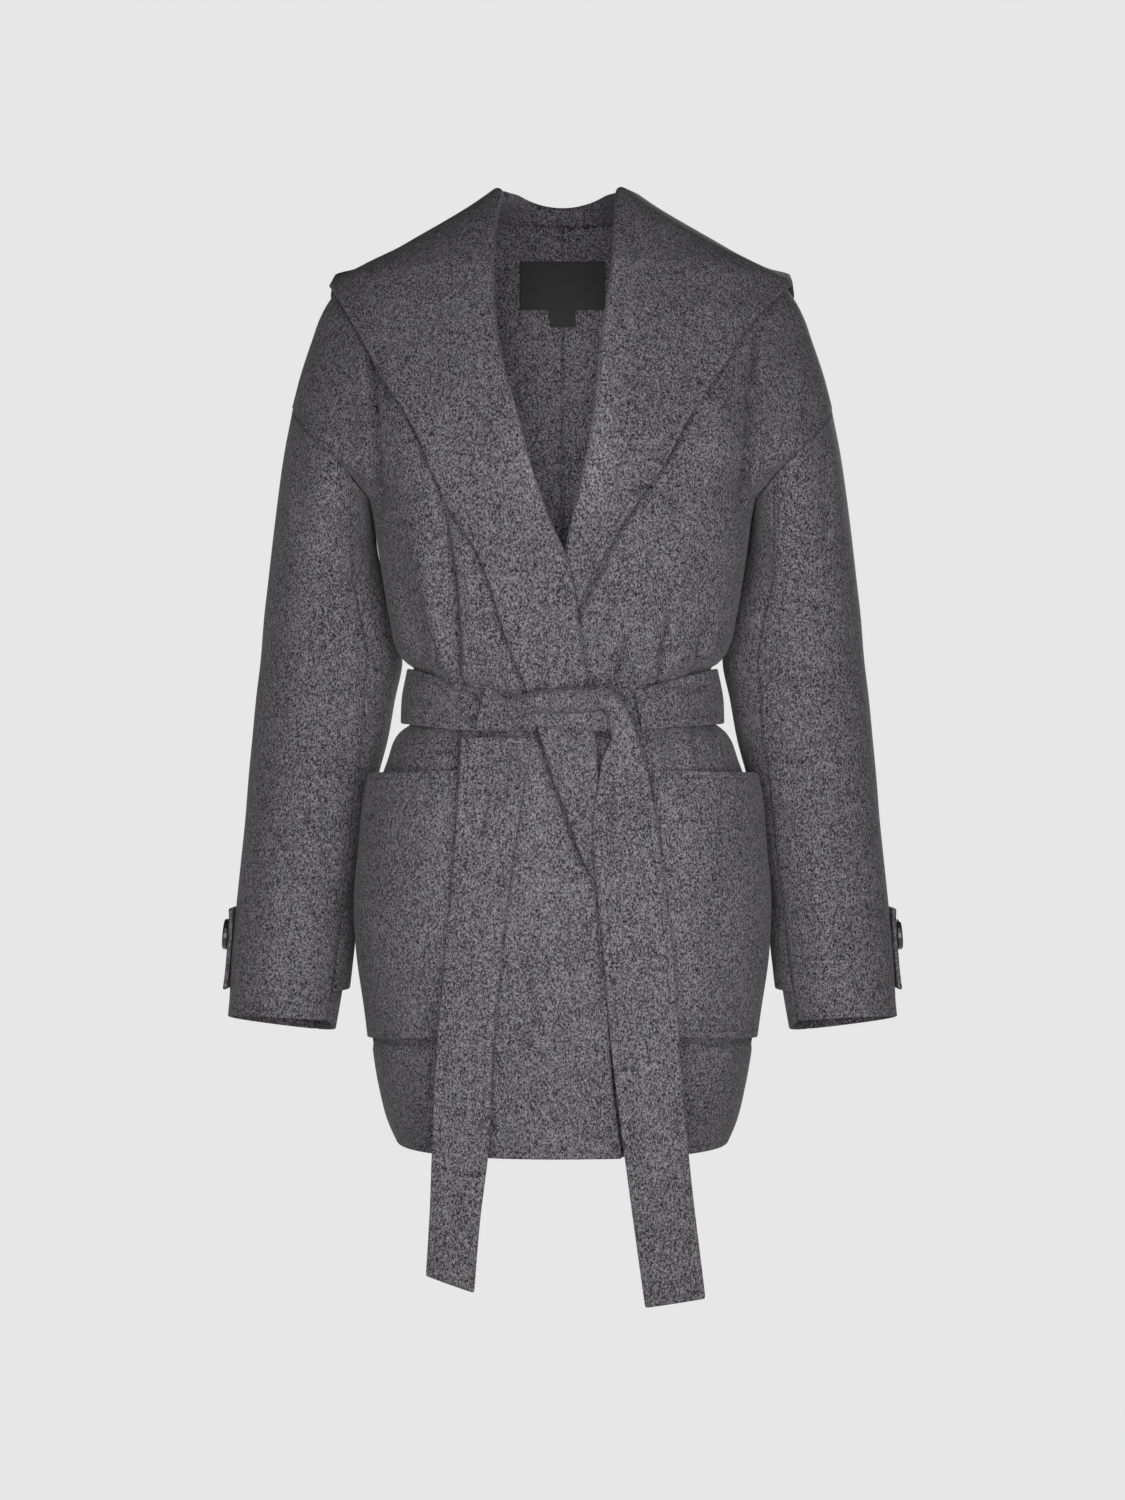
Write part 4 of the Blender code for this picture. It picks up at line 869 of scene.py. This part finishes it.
def collar_sections(seam, roll, edge, part, under, fall_steps=44, fold_steps=12):
    """Sections of the collar along the middle of its cloth: the return, the fold over the roll and the
    fall. seam, roll and edge hold a place on the coat's skin, angle and height, for each section."""
    pressed = smooth((PRESSED["top"] - roll[:, 1]) / (PRESSED["top"] - PRESSED["foot"]))
    roll_lift = ROLL_LIFT["loose"] + (ROLL_LIFT["pressed"] - ROLL_LIFT["loose"]) * pressed
    fall_lift = FALL_LIFT["loose"] + (FALL_LIFT["pressed"] - FALL_LIFT["loose"]) * pressed
    seam_skin, roll_skin, edge_skin = (coat(*place.T, part, under, False) for place in (seam, roll, edge))
    normal = coat_normal(*roll.T, part, under, False)
    towards = roll_skin - seam_skin
    towards = unit(towards - normal * dot(towards, normal))[:, None]
    normal, radius = normal[:, None], (roll_lift / 2)[:, None, None]
    centre = roll_skin[:, None] - towards * radius + normal * (2 * radius - WALL) / 2
    first = over_coat(*seam.T, part, np.full(len(seam), -WALL / 2), under)[:, None]
    beta = np.linspace(0, math.pi, fold_steps + 1)[:, None]
    fold = centre + radius * (np.sin(beta) * towards - np.cos(beta) * normal)

    width = np.linalg.norm(edge_skin - roll_skin, axis=-1)[:, None]
    start = np.minimum((radius[:, 0] + 5) / width, 0.5)
    along = start + (1 - start) * np.linspace(0, 1, fall_steps)
    place = roll[:, None] + (edge - roll)[:, None] * along[..., None]
    lift = fall_lift[:, None] + (roll_lift - fall_lift)[:, None] * np.exp(-((along * width / 26) ** 2))
    lift = lift + EDGE_RISE * np.exp(-(((1 - along) * width / 11) ** 2)) * smooth(width / 25)
    fall = over_coat(place[..., 0], place[..., 1], part, lift - WALL / 2, under, False)
    return np.concatenate([first, fold, fall], axis=1)


BEHIND = 44  # sections from the centre back to the side


def collar_half(side):
    """Half the collar, from the centre back round the neck and down to the lapel's foot."""
    u = np.linspace(0, 1, BEHIND)
    angle = side * u * math.pi / 2
    fall = smooth((u - 0.45) / 0.75) / smooth(0.55 / 0.75)
    edge_height = COLLAR_BACK_DEPTH + (COLLAR_TIP - COLLAR_BACK_DEPTH) * fall
    roll_height = ROLL_TOP["back"] + (ROLL_TOP["side"] - ROLL_TOP["back"]) * smooth(u)
    roll_height = roll_height + ROLL_CREST * smooth(u / 0.45) * smooth((1 - u) / 0.3)
    heights = (NECK_SEAM, roll_height, edge_height)
    places = [np.stack([angle, height + 0 * u], axis=-1) for height in heights]
    behind = collar_sections(*places, "back", False)

    roll_table, edge_table = (ROLL_RIGHT, EDGE_RIGHT) if side < 0 else (ROLL_LEFT, EDGE_LEFT)
    roll_height, edge_height = collar_stations(side)
    seam_height = np.minimum(roll_height, NECK_SEAM)
    lines = (
        (front_edge(side, seam_height), seam_height, True),
        (read(roll_table, "out", roll_height), roll_height, False),
        (read(edge_table, "out", edge_height), edge_height, False),
    )
    places = []
    for out, at, folded in lines:
        places.append(np.stack([angle_of(side * out, at, "front", folded), at], axis=-1))
    return np.concatenate([behind, collar_sections(*places, "front", side > 0)])


mid = np.concatenate([collar_half(-1)[::-1], collar_half(1)[1:]])
for side in (-1, 1):
    tip = mid[len(mid) // 2 + side * (BEHIND - 1), -1]
    near = np.exp(-((np.linalg.norm(mid - tip, axis=-1, keepdims=True) / TIP_PULL["reach"]) ** 2))
    mid = mid + near * (side * TIP_PULL["out"], 0, TIP_PULL["up"])
normals = unit(np.cross(np.gradient(mid, axis=0), np.gradient(mid, axis=1)))
if normals[len(normals) // 4, -2, 1] > 0:
    normals = -normals
collar = shell("shawl_collar", mid + normals * WALL / 2, normals, WALL, ("end",), ("start",))
body = ["front_right", "front_left", "back_right", "back_left"]
show(collar, "collar", flat=(0.22, 1.30), area=0.181, held="folded", rests_on=body)

# --- Pockets --------------------------------------------------------------------------------------
# Large square patch pockets, sewn to the fronts along three sides. The open top stands off a little,
# and more so at its outer corner.

POCKET = dict(
    inner=72, outer_angle=88, top_inner=-481, top_outer=-488, foot_inner=-693, foot_outer=-705,
    gap=0.9, bulge=5.0, gape=6.0,
)

for side, name in ((-1, "right"), (1, "left")):
    across, down = np.meshgrid(np.linspace(0, 1, 64), np.linspace(0, 1, 72))
    height = POCKET["top_inner"] + (POCKET["top_outer"] - POCKET["top_inner"]) * across
    foot = POCKET["foot_inner"] + (POCKET["foot_outer"] - POCKET["foot_inner"]) * across
    height = height + (foot - height) * down
    inner = angle_of(side * POCKET["inner"], height)
    angle = inner + (side * math.radians(POCKET["outer_angle"]) - inner) * across
    sides = smooth(across / 0.22) * smooth((1 - across) / 0.22)
    lift = POCKET["gap"] + POCKET["bulge"] * sides * smooth((1 - down) / 0.35)
    lift = lift + POCKET["gape"] * smooth((across - 0.3) / 0.7) * smooth(1 - down / 0.35)
    grid = over_coat(angle, height, "front", lift, side > 0)
    normals = coat_normal(angle, height, "front", side > 0)
    turned = ("top", "foot", "start", "end")
    pocket = shell("patch_pocket_" + name, grid + WALL * normals, normals, WALL, turned)
    on = ["front_" + name]
    show(pocket, "pocket_" + name, flat=(0.170, 0.225), area=0.0375, held="laid", rests_on=on)

# --- Belt -----------------------------------------------------------------------------------------
# A self belt of doubled wool, 53 mm wide, tied once at the front. It runs round the waist under no
# loops, folds to half its width at the knot, and hangs in two tails with slanted ends.

BELT_WALL = 3.0  # the belt is sewn double
BAND_ENDS = (-50, 60)
BAND_MIDDLE = -434
BAND_LIFT = 2.5
# Creases of the band on the front (-1) and the back (1)
BAND_CREASES = {
    -1: (
        (((-122, -402), (-98, -408), (-70, -421), (-48, -432)), 1.8, 3.4, -1),
        (((-118, -428), (-92, -434), (-60, -440)), 1.3, 3.4, 1),
        (((-100, -416), (-84, -424), (-66, -428)), 1.0, 2.6, -1),
        (((56, -433), (90, -433), (132, -431)), 1.8, 2.8, 1),
        (((70, -410), (98, -416), (124, -415)), 1.1, 3.2, -1),
        (((54, -424), (66, -421), (86, -424)), 1.2, 2.8, 1),
    ),
    1: (
        (((-118, -412), (-70, -420), (-22, -416)), 1.2, 3.4, 1),
        (((-40, -432), (8, -428), (52, -434)), 1.1, 3.0, -1),
        (((36, -410), (78, -418), (120, -414)), 1.4, 3.2, -1),
    ),
}
# The knot: an upper roll that turns down into the wearer's left tail, and a lower one behind it
KNOT_UPPER = dict(
    step=range(11),
    x=(-44, -24, -4, 15, 33, 41.5, 46.6, 49.7, 50.5, 50, 50),
    y=(-118, -127, -132, -134.5, -135, -134, -132, -130, -130, -131, -133),
    z=(-430, -426, -424.5, -424, -423.4, -430.2, -442, -452.2, -466.7, -482.4, -502),
    half_width=(6, 9, 10, 10, 8.5, 8, 9.4, 10.5, 15.3, 19.3, 20.5),
    half_thickness=(4, 8, 9, 9.5, 9, 8, 7.5, 6.5, 5, 3.8, 2.0),
)
KNOT_LOWER = dict(
    step=range(5),
    x=(-32, -16, 2, 22, 44),
    y=(-121, -124, -125, -125, -123),
    z=(-436, -436.5, -437.5, -438.5, -440.5),
    half_width=(8, 9, 10, 10, 9.5),
    half_thickness=(4.5, 6, 6.5, 6.5, 4),
)
# The band's left end folds over the knot's start, down to a point
KNOT_FOLD = dict(
    step=range(6),
    x=(-66, -56, -47, -38, -29, -22),
    y=(-119, -121.5, -125, -128, -128.5, -126),
    z=(-430.5, -433, -436, -440, -443.5, -446),
    half_width=(18, 15.5, 12.5, 9, 5.5, 2.5),
    half_thickness=(2.5, 4, 5.5, 6, 5, 3),
)
# The hanging tails: the two edges and how far forward they hang, at each height
TAIL_RIGHT = dict(
    height=(-454, -504, -553, -629, -711, -783, -838, -890),
    first=(-82, -84, -87, -94, -101, -104, -106, -109),
    last=(-24, -32.5, -40, -49, -56, -59, -66, -70.5),
    forward=(118, 134, 143, 147, 149, 150, 150, 150),
)
TAIL_LEFT = dict(
    height=(-459, -486, -528, -551, -618, -711, -791, -905),
    first=(41, 30, 24.5, 25.6, 32, 40, 50, 66),
    last=(57, 68, 76, 79, 87.5, 94, 101, 114),
    forward=(125, 132, 140, 143, 147, 149, 150, 150),
)
TAIL_LENGTH = dict(right=0.41, left=0.45)
TAIL_FOOT_SLANT = dict(right=12.0, left=6.0)  # how much higher each tail ends at its outer edge
TAIL_TURN = 5.0  # the outer edge hangs this much further back
TAIL_SWAY = 4.0  # and the whole tail twists a little to and fro
# Creases of the tails. The wearer's left one is pieced: a seam crosses it low down.
TAIL_CREASES = dict(
    right=(
        (((-62, -452), (-58, -500), (-66, -560)), 1.4, 4.0, 1),
        (((-40, -452), (-44, -486), (-50, -522)), 1.2, 3.6, -1),
        (((-92, -610), (-74, -640), (-58, -700)), 0.8, 7.0, 1),
    ),
    left=(
        (((46, -470), (40, -510), (38, -560)), 1.5, 4.0, 1),
        (((62, -480), (64, -520), (60, -556)), 1.0, 4.0, -1),
        (((48, -640), (66, -670), (84, -690)), 0.8, 7.0, 1),
        (((46, -764), (66, -760), (86, -756), (110, -750)), 0.9, 2.2, 0),
    ),
)


def band_skin(place, down):
    """Inner face of the belt band. place counts quarter turns from the centre back."""
    edges = []
    for height in (read(BAND, "top", place, "place"), read(BAND, "foot", place, "place")):
        back = coat(place * math.pi / 2, height, "back", folded=False)
        front = coat(np.sign(place) * (2 - np.abs(place)) * math.pi / 2, height, "front", folded=False)
        edges.append(np.where((np.abs(place) <= 1)[..., None], back, front))
    return edges[0] + (edges[1] - edges[0]) * down[..., None]


ends = [abs(angle_of(x, BAND_MIDDLE)) / (math.pi / 2) for x in BAND_ENDS]
place, down = np.meshgrid(np.linspace(ends[0] - 2, 2 - ends[1], 300), np.linspace(0, 1, 26))
grid = band_skin(place, down)
normals = grid_normals(grid, grid - grid.mean(axis=1, keepdims=True))
in_front, behind = (np.array(crease_height(grid, BAND_CREASES[facing])) for facing in (-1, 1))
lift, crevice_shade = np.where(grid[..., 1] < 0, in_front, behind)
lift = lift + BAND_LIFT * (0.35 + 0.65 * smooth(down / 0.6)) + BELT_WALL + np.sin(math.pi * down)
outer = grid + lift[..., None] * normals
normals = grid_normals(outer, normals)
band = shell("waist_belt", outer, normals, BELT_WALL, ("top", "foot"), (), crevice_shade)


def roll(name, path, stations, around=48):
    """A soft roll of cloth along a path, its section wide along the coat and thin away from it."""
    at = np.linspace(path["step"][0], path["step"][-1], stations)
    middle = np.stack([read(path, axis, at, "step") for axis in "xyz"], axis=-1)
    along = unit(np.gradient(middle, axis=0))
    forward = unit(np.array([0.0, -1.0, 0.0]) + along * along[:, 1:2])
    across = np.cross(along, forward)
    turn = 2 * math.pi * np.arange(around) / around
    wide = read(path, "half_width", at, "step")[:, None, None] * np.cos(turn)[None, :, None]
    thick = read(path, "half_thickness", at, "step")[:, None, None] * np.sin(turn)[None, :, None]
    limp = 0.05 * np.sin(3 * turn[None] + at[:, None]) + 0.03 * np.sin(5 * turn[None] - 2 * at[:, None])
    limp = 1 + limp
    rings = middle[:, None] + limp[..., None] * (wide * across[:, None] + thick * forward[:, None])
    points = np.concatenate([rings.reshape(-1, 3), middle[:1], middle[-1:]])
    faces = []
    for i in range(stations - 1):
        for j in range(around):
            k = (j + 1) % around
            faces.append((i * around + j, i * around + k, (i + 1) * around + k, (i + 1) * around + j))
    for j in range(around):
        k = (j + 1) % around
        faces.append((len(points) - 2, k, j))
        faces.append((len(points) - 1, (stations - 1) * around + j, (stations - 1) * around + k))
    far = np.full(len(points), 1000.0)
    return make(name, points, faces, from_edge=far, from_seam=far)


upper = roll("knot_upper_turn", KNOT_UPPER, 120)
lower = roll("knot_lower_turn", KNOT_LOWER, 60)
fold = roll("knot_fold", KNOT_FOLD, 70)
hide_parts("belt_knot")
for turn in (upper, lower, fold):
    WOOL.dress(turn)
cut = dict(flat=(0.053, 0.60), area=0.030)
show(band, "belt_band", held="stretched", rests_on=body, with_pieces=[upper, lower, fold], **cut)

for name, tail, side in (("right", TAIL_RIGHT, -1), ("left", TAIL_LEFT, 1)):
    top, foot = tail["height"][0], tail["height"][-1]
    across, down = np.meshgrid(np.linspace(0, 1, 26), np.linspace(0, 1, 170))
    outwards = across if side > 0 else 1 - across
    height = top + (foot - top) * down
    first, last = read(tail, "first", height), read(tail, "last", height)
    x = first + (last - first) * across
    hang = smooth(down / 0.3)
    y = -read(tail, "forward", height) + TAIL_TURN * outwards**2 * hang
    y = y + TAIL_SWAY * np.sin(height / 47 + side) * (across - 0.5) * hang
    z = height + TAIL_FOOT_SLANT[name] * (outwards - 0.5) * smooth((down - 0.75) / 0.25)
    grid = np.stack([x, y, z], axis=-1)
    normals = grid_normals(grid, np.array([0.0, -1.0, 0.0]))
    lift, crevice_shade = crease_height(grid, TAIL_CREASES[name])
    grid = grid + (BELT_WALL / 2 + lift)[..., None] * normals
    normals = grid_normals(grid, normals)
    turned = ("start", "end", "foot")
    hanging = shell("hanging_tail_" + name, grid, normals, BELT_WALL, turned, (), crevice_shade)
    flat = (0.053, TAIL_LENGTH[name])
    show(hanging, "belt_tail_" + name, flat=flat, held="hung", rests_on=["belt_knot"])

# --- Cuff straps and buttons ----------------------------------------------------------------------
# A strap of the same wool is caught in the front inner seam, runs round the back of the cuff and is
# buttoned on the outer side with a turned button of dark resin.

# first and last are degrees round the sleeve, from the outer side over the front
STRAP = dict(top=-598, foot=-666, first=146, last=377, lift=1.0, hang=2.0, flare=2.6)
STRAP_WALL = 3.2  # doubled and pressed


def strap_face(side, turn, down):
    """Inner face of a cuff strap. turn is in degrees round the sleeve, down runs from 0 to 1."""
    height = STRAP["top"] + (STRAP["foot"] - STRAP["top"]) * down
    angle = np.radians(turn)
    wide = (read(SLEEVE, "outer", height) - read(SLEEVE, "inner", height)) / 2
    deep = read(SLEEVE, "half_depth", height)
    away = np.stack([side * np.cos(angle) * deep, -np.sin(angle) * wide, 0 * angle], axis=-1)
    away = away / np.linalg.norm(away, axis=-1, keepdims=True)
    lift = STRAP["lift"] + STRAP["hang"] * np.exp(-(((turn - 180) / 30) ** 2)) * down
    lift = lift + STRAP["flare"] * smooth((turn - STRAP["last"] + 16) / 16) * (2 * down - 1) ** 2
    return arm(angle, height, side) + lift[..., None] * away


for side, name in ((-1, "right"), (1, "left")):
    turn, down = np.meshgrid(np.linspace(STRAP["first"], STRAP["last"], 130), np.linspace(0, 1, 30))
    grid = strap_face(side, turn, down)
    normals = grid_normals(grid, grid - grid.mean(axis=1, keepdims=True))
    outer, turned = grid + STRAP_WALL * normals, ("top", "foot", "end")
    strap = shell("buttoned_strap_" + name, outer, normals, STRAP_WALL, turned, ("start",))
    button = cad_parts["cuff_button_" + name]
    on, cut = ["sleeve_top_" + name, "sleeve_under_" + name], (0.068, 0.24)
    show(strap, "cuff_strap_" + name, flat=cut, held="laid", rests_on=on, with_pieces=[button])

RESIN = Finish("dark resin", Roughness=0.32, Coat_Weight=0.2, Coat_Roughness=0.2, Specular_IOR_Level=0.5)
swirl = RESIN.noise(RESIN.node("ShaderNodeTexCoord", {}, {}, "Object"), 160.0, 4.0, 0.6, 2.5)
shades = dict(stops=((0.35, (0.006, 0.006, 0.007)), (0.7, (0.03, 0.028, 0.028))))
marbled = RESIN.node("ShaderNodeValToRGB", shades, {"Fac": swirl})
RESIN.set(RESIN.shader, {"Base Color": marbled})
for name in ("right", "left"):
    RESIN.dress(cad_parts["cuff_button_" + name])

# --- Labels ---------------------------------------------------------------------------------------
# A black woven label and a small tag below it, sewn inside the back neck by their upper edges. Both
# are left bare.

NECK_LABEL = dict(width=76, top=-32, foot=-73, thickness=0.7)
SIZE_LABEL = dict(width=23, top=-73.5, foot=-88, thickness=0.5)
LABEL_GAP = 0.6

SATIN = Finish("black woven label", Roughness=0.62, Sheen_Weight=0.2, Specular_IOR_Level=0.3)
place = SATIN.node("ShaderNodeTexCoord", {}, {}, "Object")
lines = {"Vector": place, "Scale": 520.0, "Distortion": 0.6}
threads = SATIN.node("ShaderNodeTexWave", dict(wave_type="BANDS", bands_direction="Z"), lines)
shades = dict(stops=((0.2, (0.006, 0.006, 0.007)), (0.8, (0.016, 0.016, 0.018))))
weave = SATIN.node("ShaderNodeValToRGB", shades, {"Fac": threads})
ribs = SATIN.node("ShaderNodeBump", {}, {"Strength": 0.4, "Distance": 0.0002, "Height": threads})
SATIN.set(SATIN.shader, {"Base Color": weave, "Normal": ribs})
for name, label, node, slot in (
    ("woven_neck_label", NECK_LABEL, "neck_label", "neck label"),
    ("woven_size_tag", SIZE_LABEL, "size_label", "size label"),
):
    half_width = label["width"] / 2
    x = np.linspace(-half_width, half_width, 60)
    x, height = np.meshgrid(x, np.linspace(label["top"], label["foot"], 36))
    angle = angle_of(x, height, "back")
    normals = coat_normal(angle, height, "back")
    outer = over_coat(angle, height, "back", np.full(x.shape, -WALL - LABEL_GAP))
    made = shell(name, outer, normals, label["thickness"], ("top", "foot", "start", "end"))
    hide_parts(node)
    SATIN.dress(made)
    cut = (label["width"] / 1000, (label["top"] - label["foot"]) / 1000)

# --- Floor, light and camera ----------------------------------------------------------------------
# The coat hangs as worn above a plain pale floor. A softbox close in front gives most of the light,
# weak ones fill it in from both sides, and two light the back.

PALE = (0.799, 0.799, 0.799)
FLOOR_HEIGHT = -1.45
bpy.ops.mesh.primitive_plane_add(size=8.0, location=(0.0, 0.0, FLOOR_HEIGHT))
floor = bpy.context.object
floor.name = "floor"
matt = Finish(
    "pale floor", Base_Color=(0.0, 0.0, 0.0), Emission_Color=PALE, Emission_Strength=1.0,
    Roughness=1.0, Specular_IOR_Level=0.0,
)
matt.dress(floor)
floor.visible_diffuse = False

# The wall of the studio looks as pale as the floor, but the softboxes light the coat.
WALL_LIGHT = 0.03
world = bpy.data.worlds.new("studio")
bpy.context.scene.world = world
world.use_nodes = True
studio = world.node_tree
backdrop = studio.nodes["Background"]
backdrop.inputs["Color"].default_value = (*PALE, 1.0)
dim = studio.nodes.new("ShaderNodeBackground")
dim.inputs["Color"].default_value = (*PALE, 1.0)
dim.inputs["Strength"].default_value = WALL_LIGHT
either = studio.nodes.new("ShaderNodeMixShader")
studio.links.new(studio.nodes.new("ShaderNodeLightPath").outputs["Is Camera Ray"], either.inputs["Fac"])
studio.links.new(dim.outputs["Background"], either.inputs[1])
studio.links.new(backdrop.outputs["Background"], either.inputs[2])
studio.links.new(either.outputs["Shader"], studio.nodes["World Output"].inputs["Surface"])

# name, width and height in metres, watts, spread in degrees, place. Each faces the middle of the coat,
# but for the narrow one, which reaches the inside of the neck.
MIDDLE, NECK = Vector((0.0, 0.0, -0.45)), Vector((0.0, 0.1, -0.16))
for name, size, power, spread, place in (
    ("front softbox", (1.1, 0.8), 15.6, 180, (0.05, -1.1, -0.5)),
    ("right softbox", (0.8, 1.4), 3.5, 180, (2.2, -1.2, -0.45)),
    ("left softbox", (0.8, 1.4), 1.0, 180, (-2.2, -1.2, -0.45)),
    ("neck softbox", (0.05, 0.2), 0.03, 12, (0.0, -0.5, -0.16)),
    ("back softbox", (0.9, 0.7), 34.0, 180, (0.9, 2.0, 0.35)),
    ("far back softbox", (0.8, 1.4), 10.0, 180, (-2.0, 1.4, -0.4)),
):
    softbox = bpy.data.objects.new(name, bpy.data.lights.new(name, "AREA"))
    softbox.data.shape = "RECTANGLE"
    softbox.data.size, softbox.data.size_y = size
    softbox.data.energy, softbox.data.spread = power, math.radians(spread)
    softbox.location = place
    aim = (NECK if spread < 180 else MIDDLE) - softbox.location
    softbox.rotation_euler = aim.to_track_quat("-Z", "Y").to_euler()
    bpy.context.scene.collection.objects.link(softbox)

camera = bpy.data.objects.new("camera", bpy.data.cameras.new("camera"))
camera.data.lens = 67.8
camera.data.sensor_width = 36.0
camera.location = (0.0, -2.4, -0.464)
camera.rotation_euler = (math.radians(90), 0.0, 0.0)
bpy.context.scene.collection.objects.link(camera)
bpy.context.scene.camera = camera
bpy.context.scene.view_settings.view_transform = "Standard"
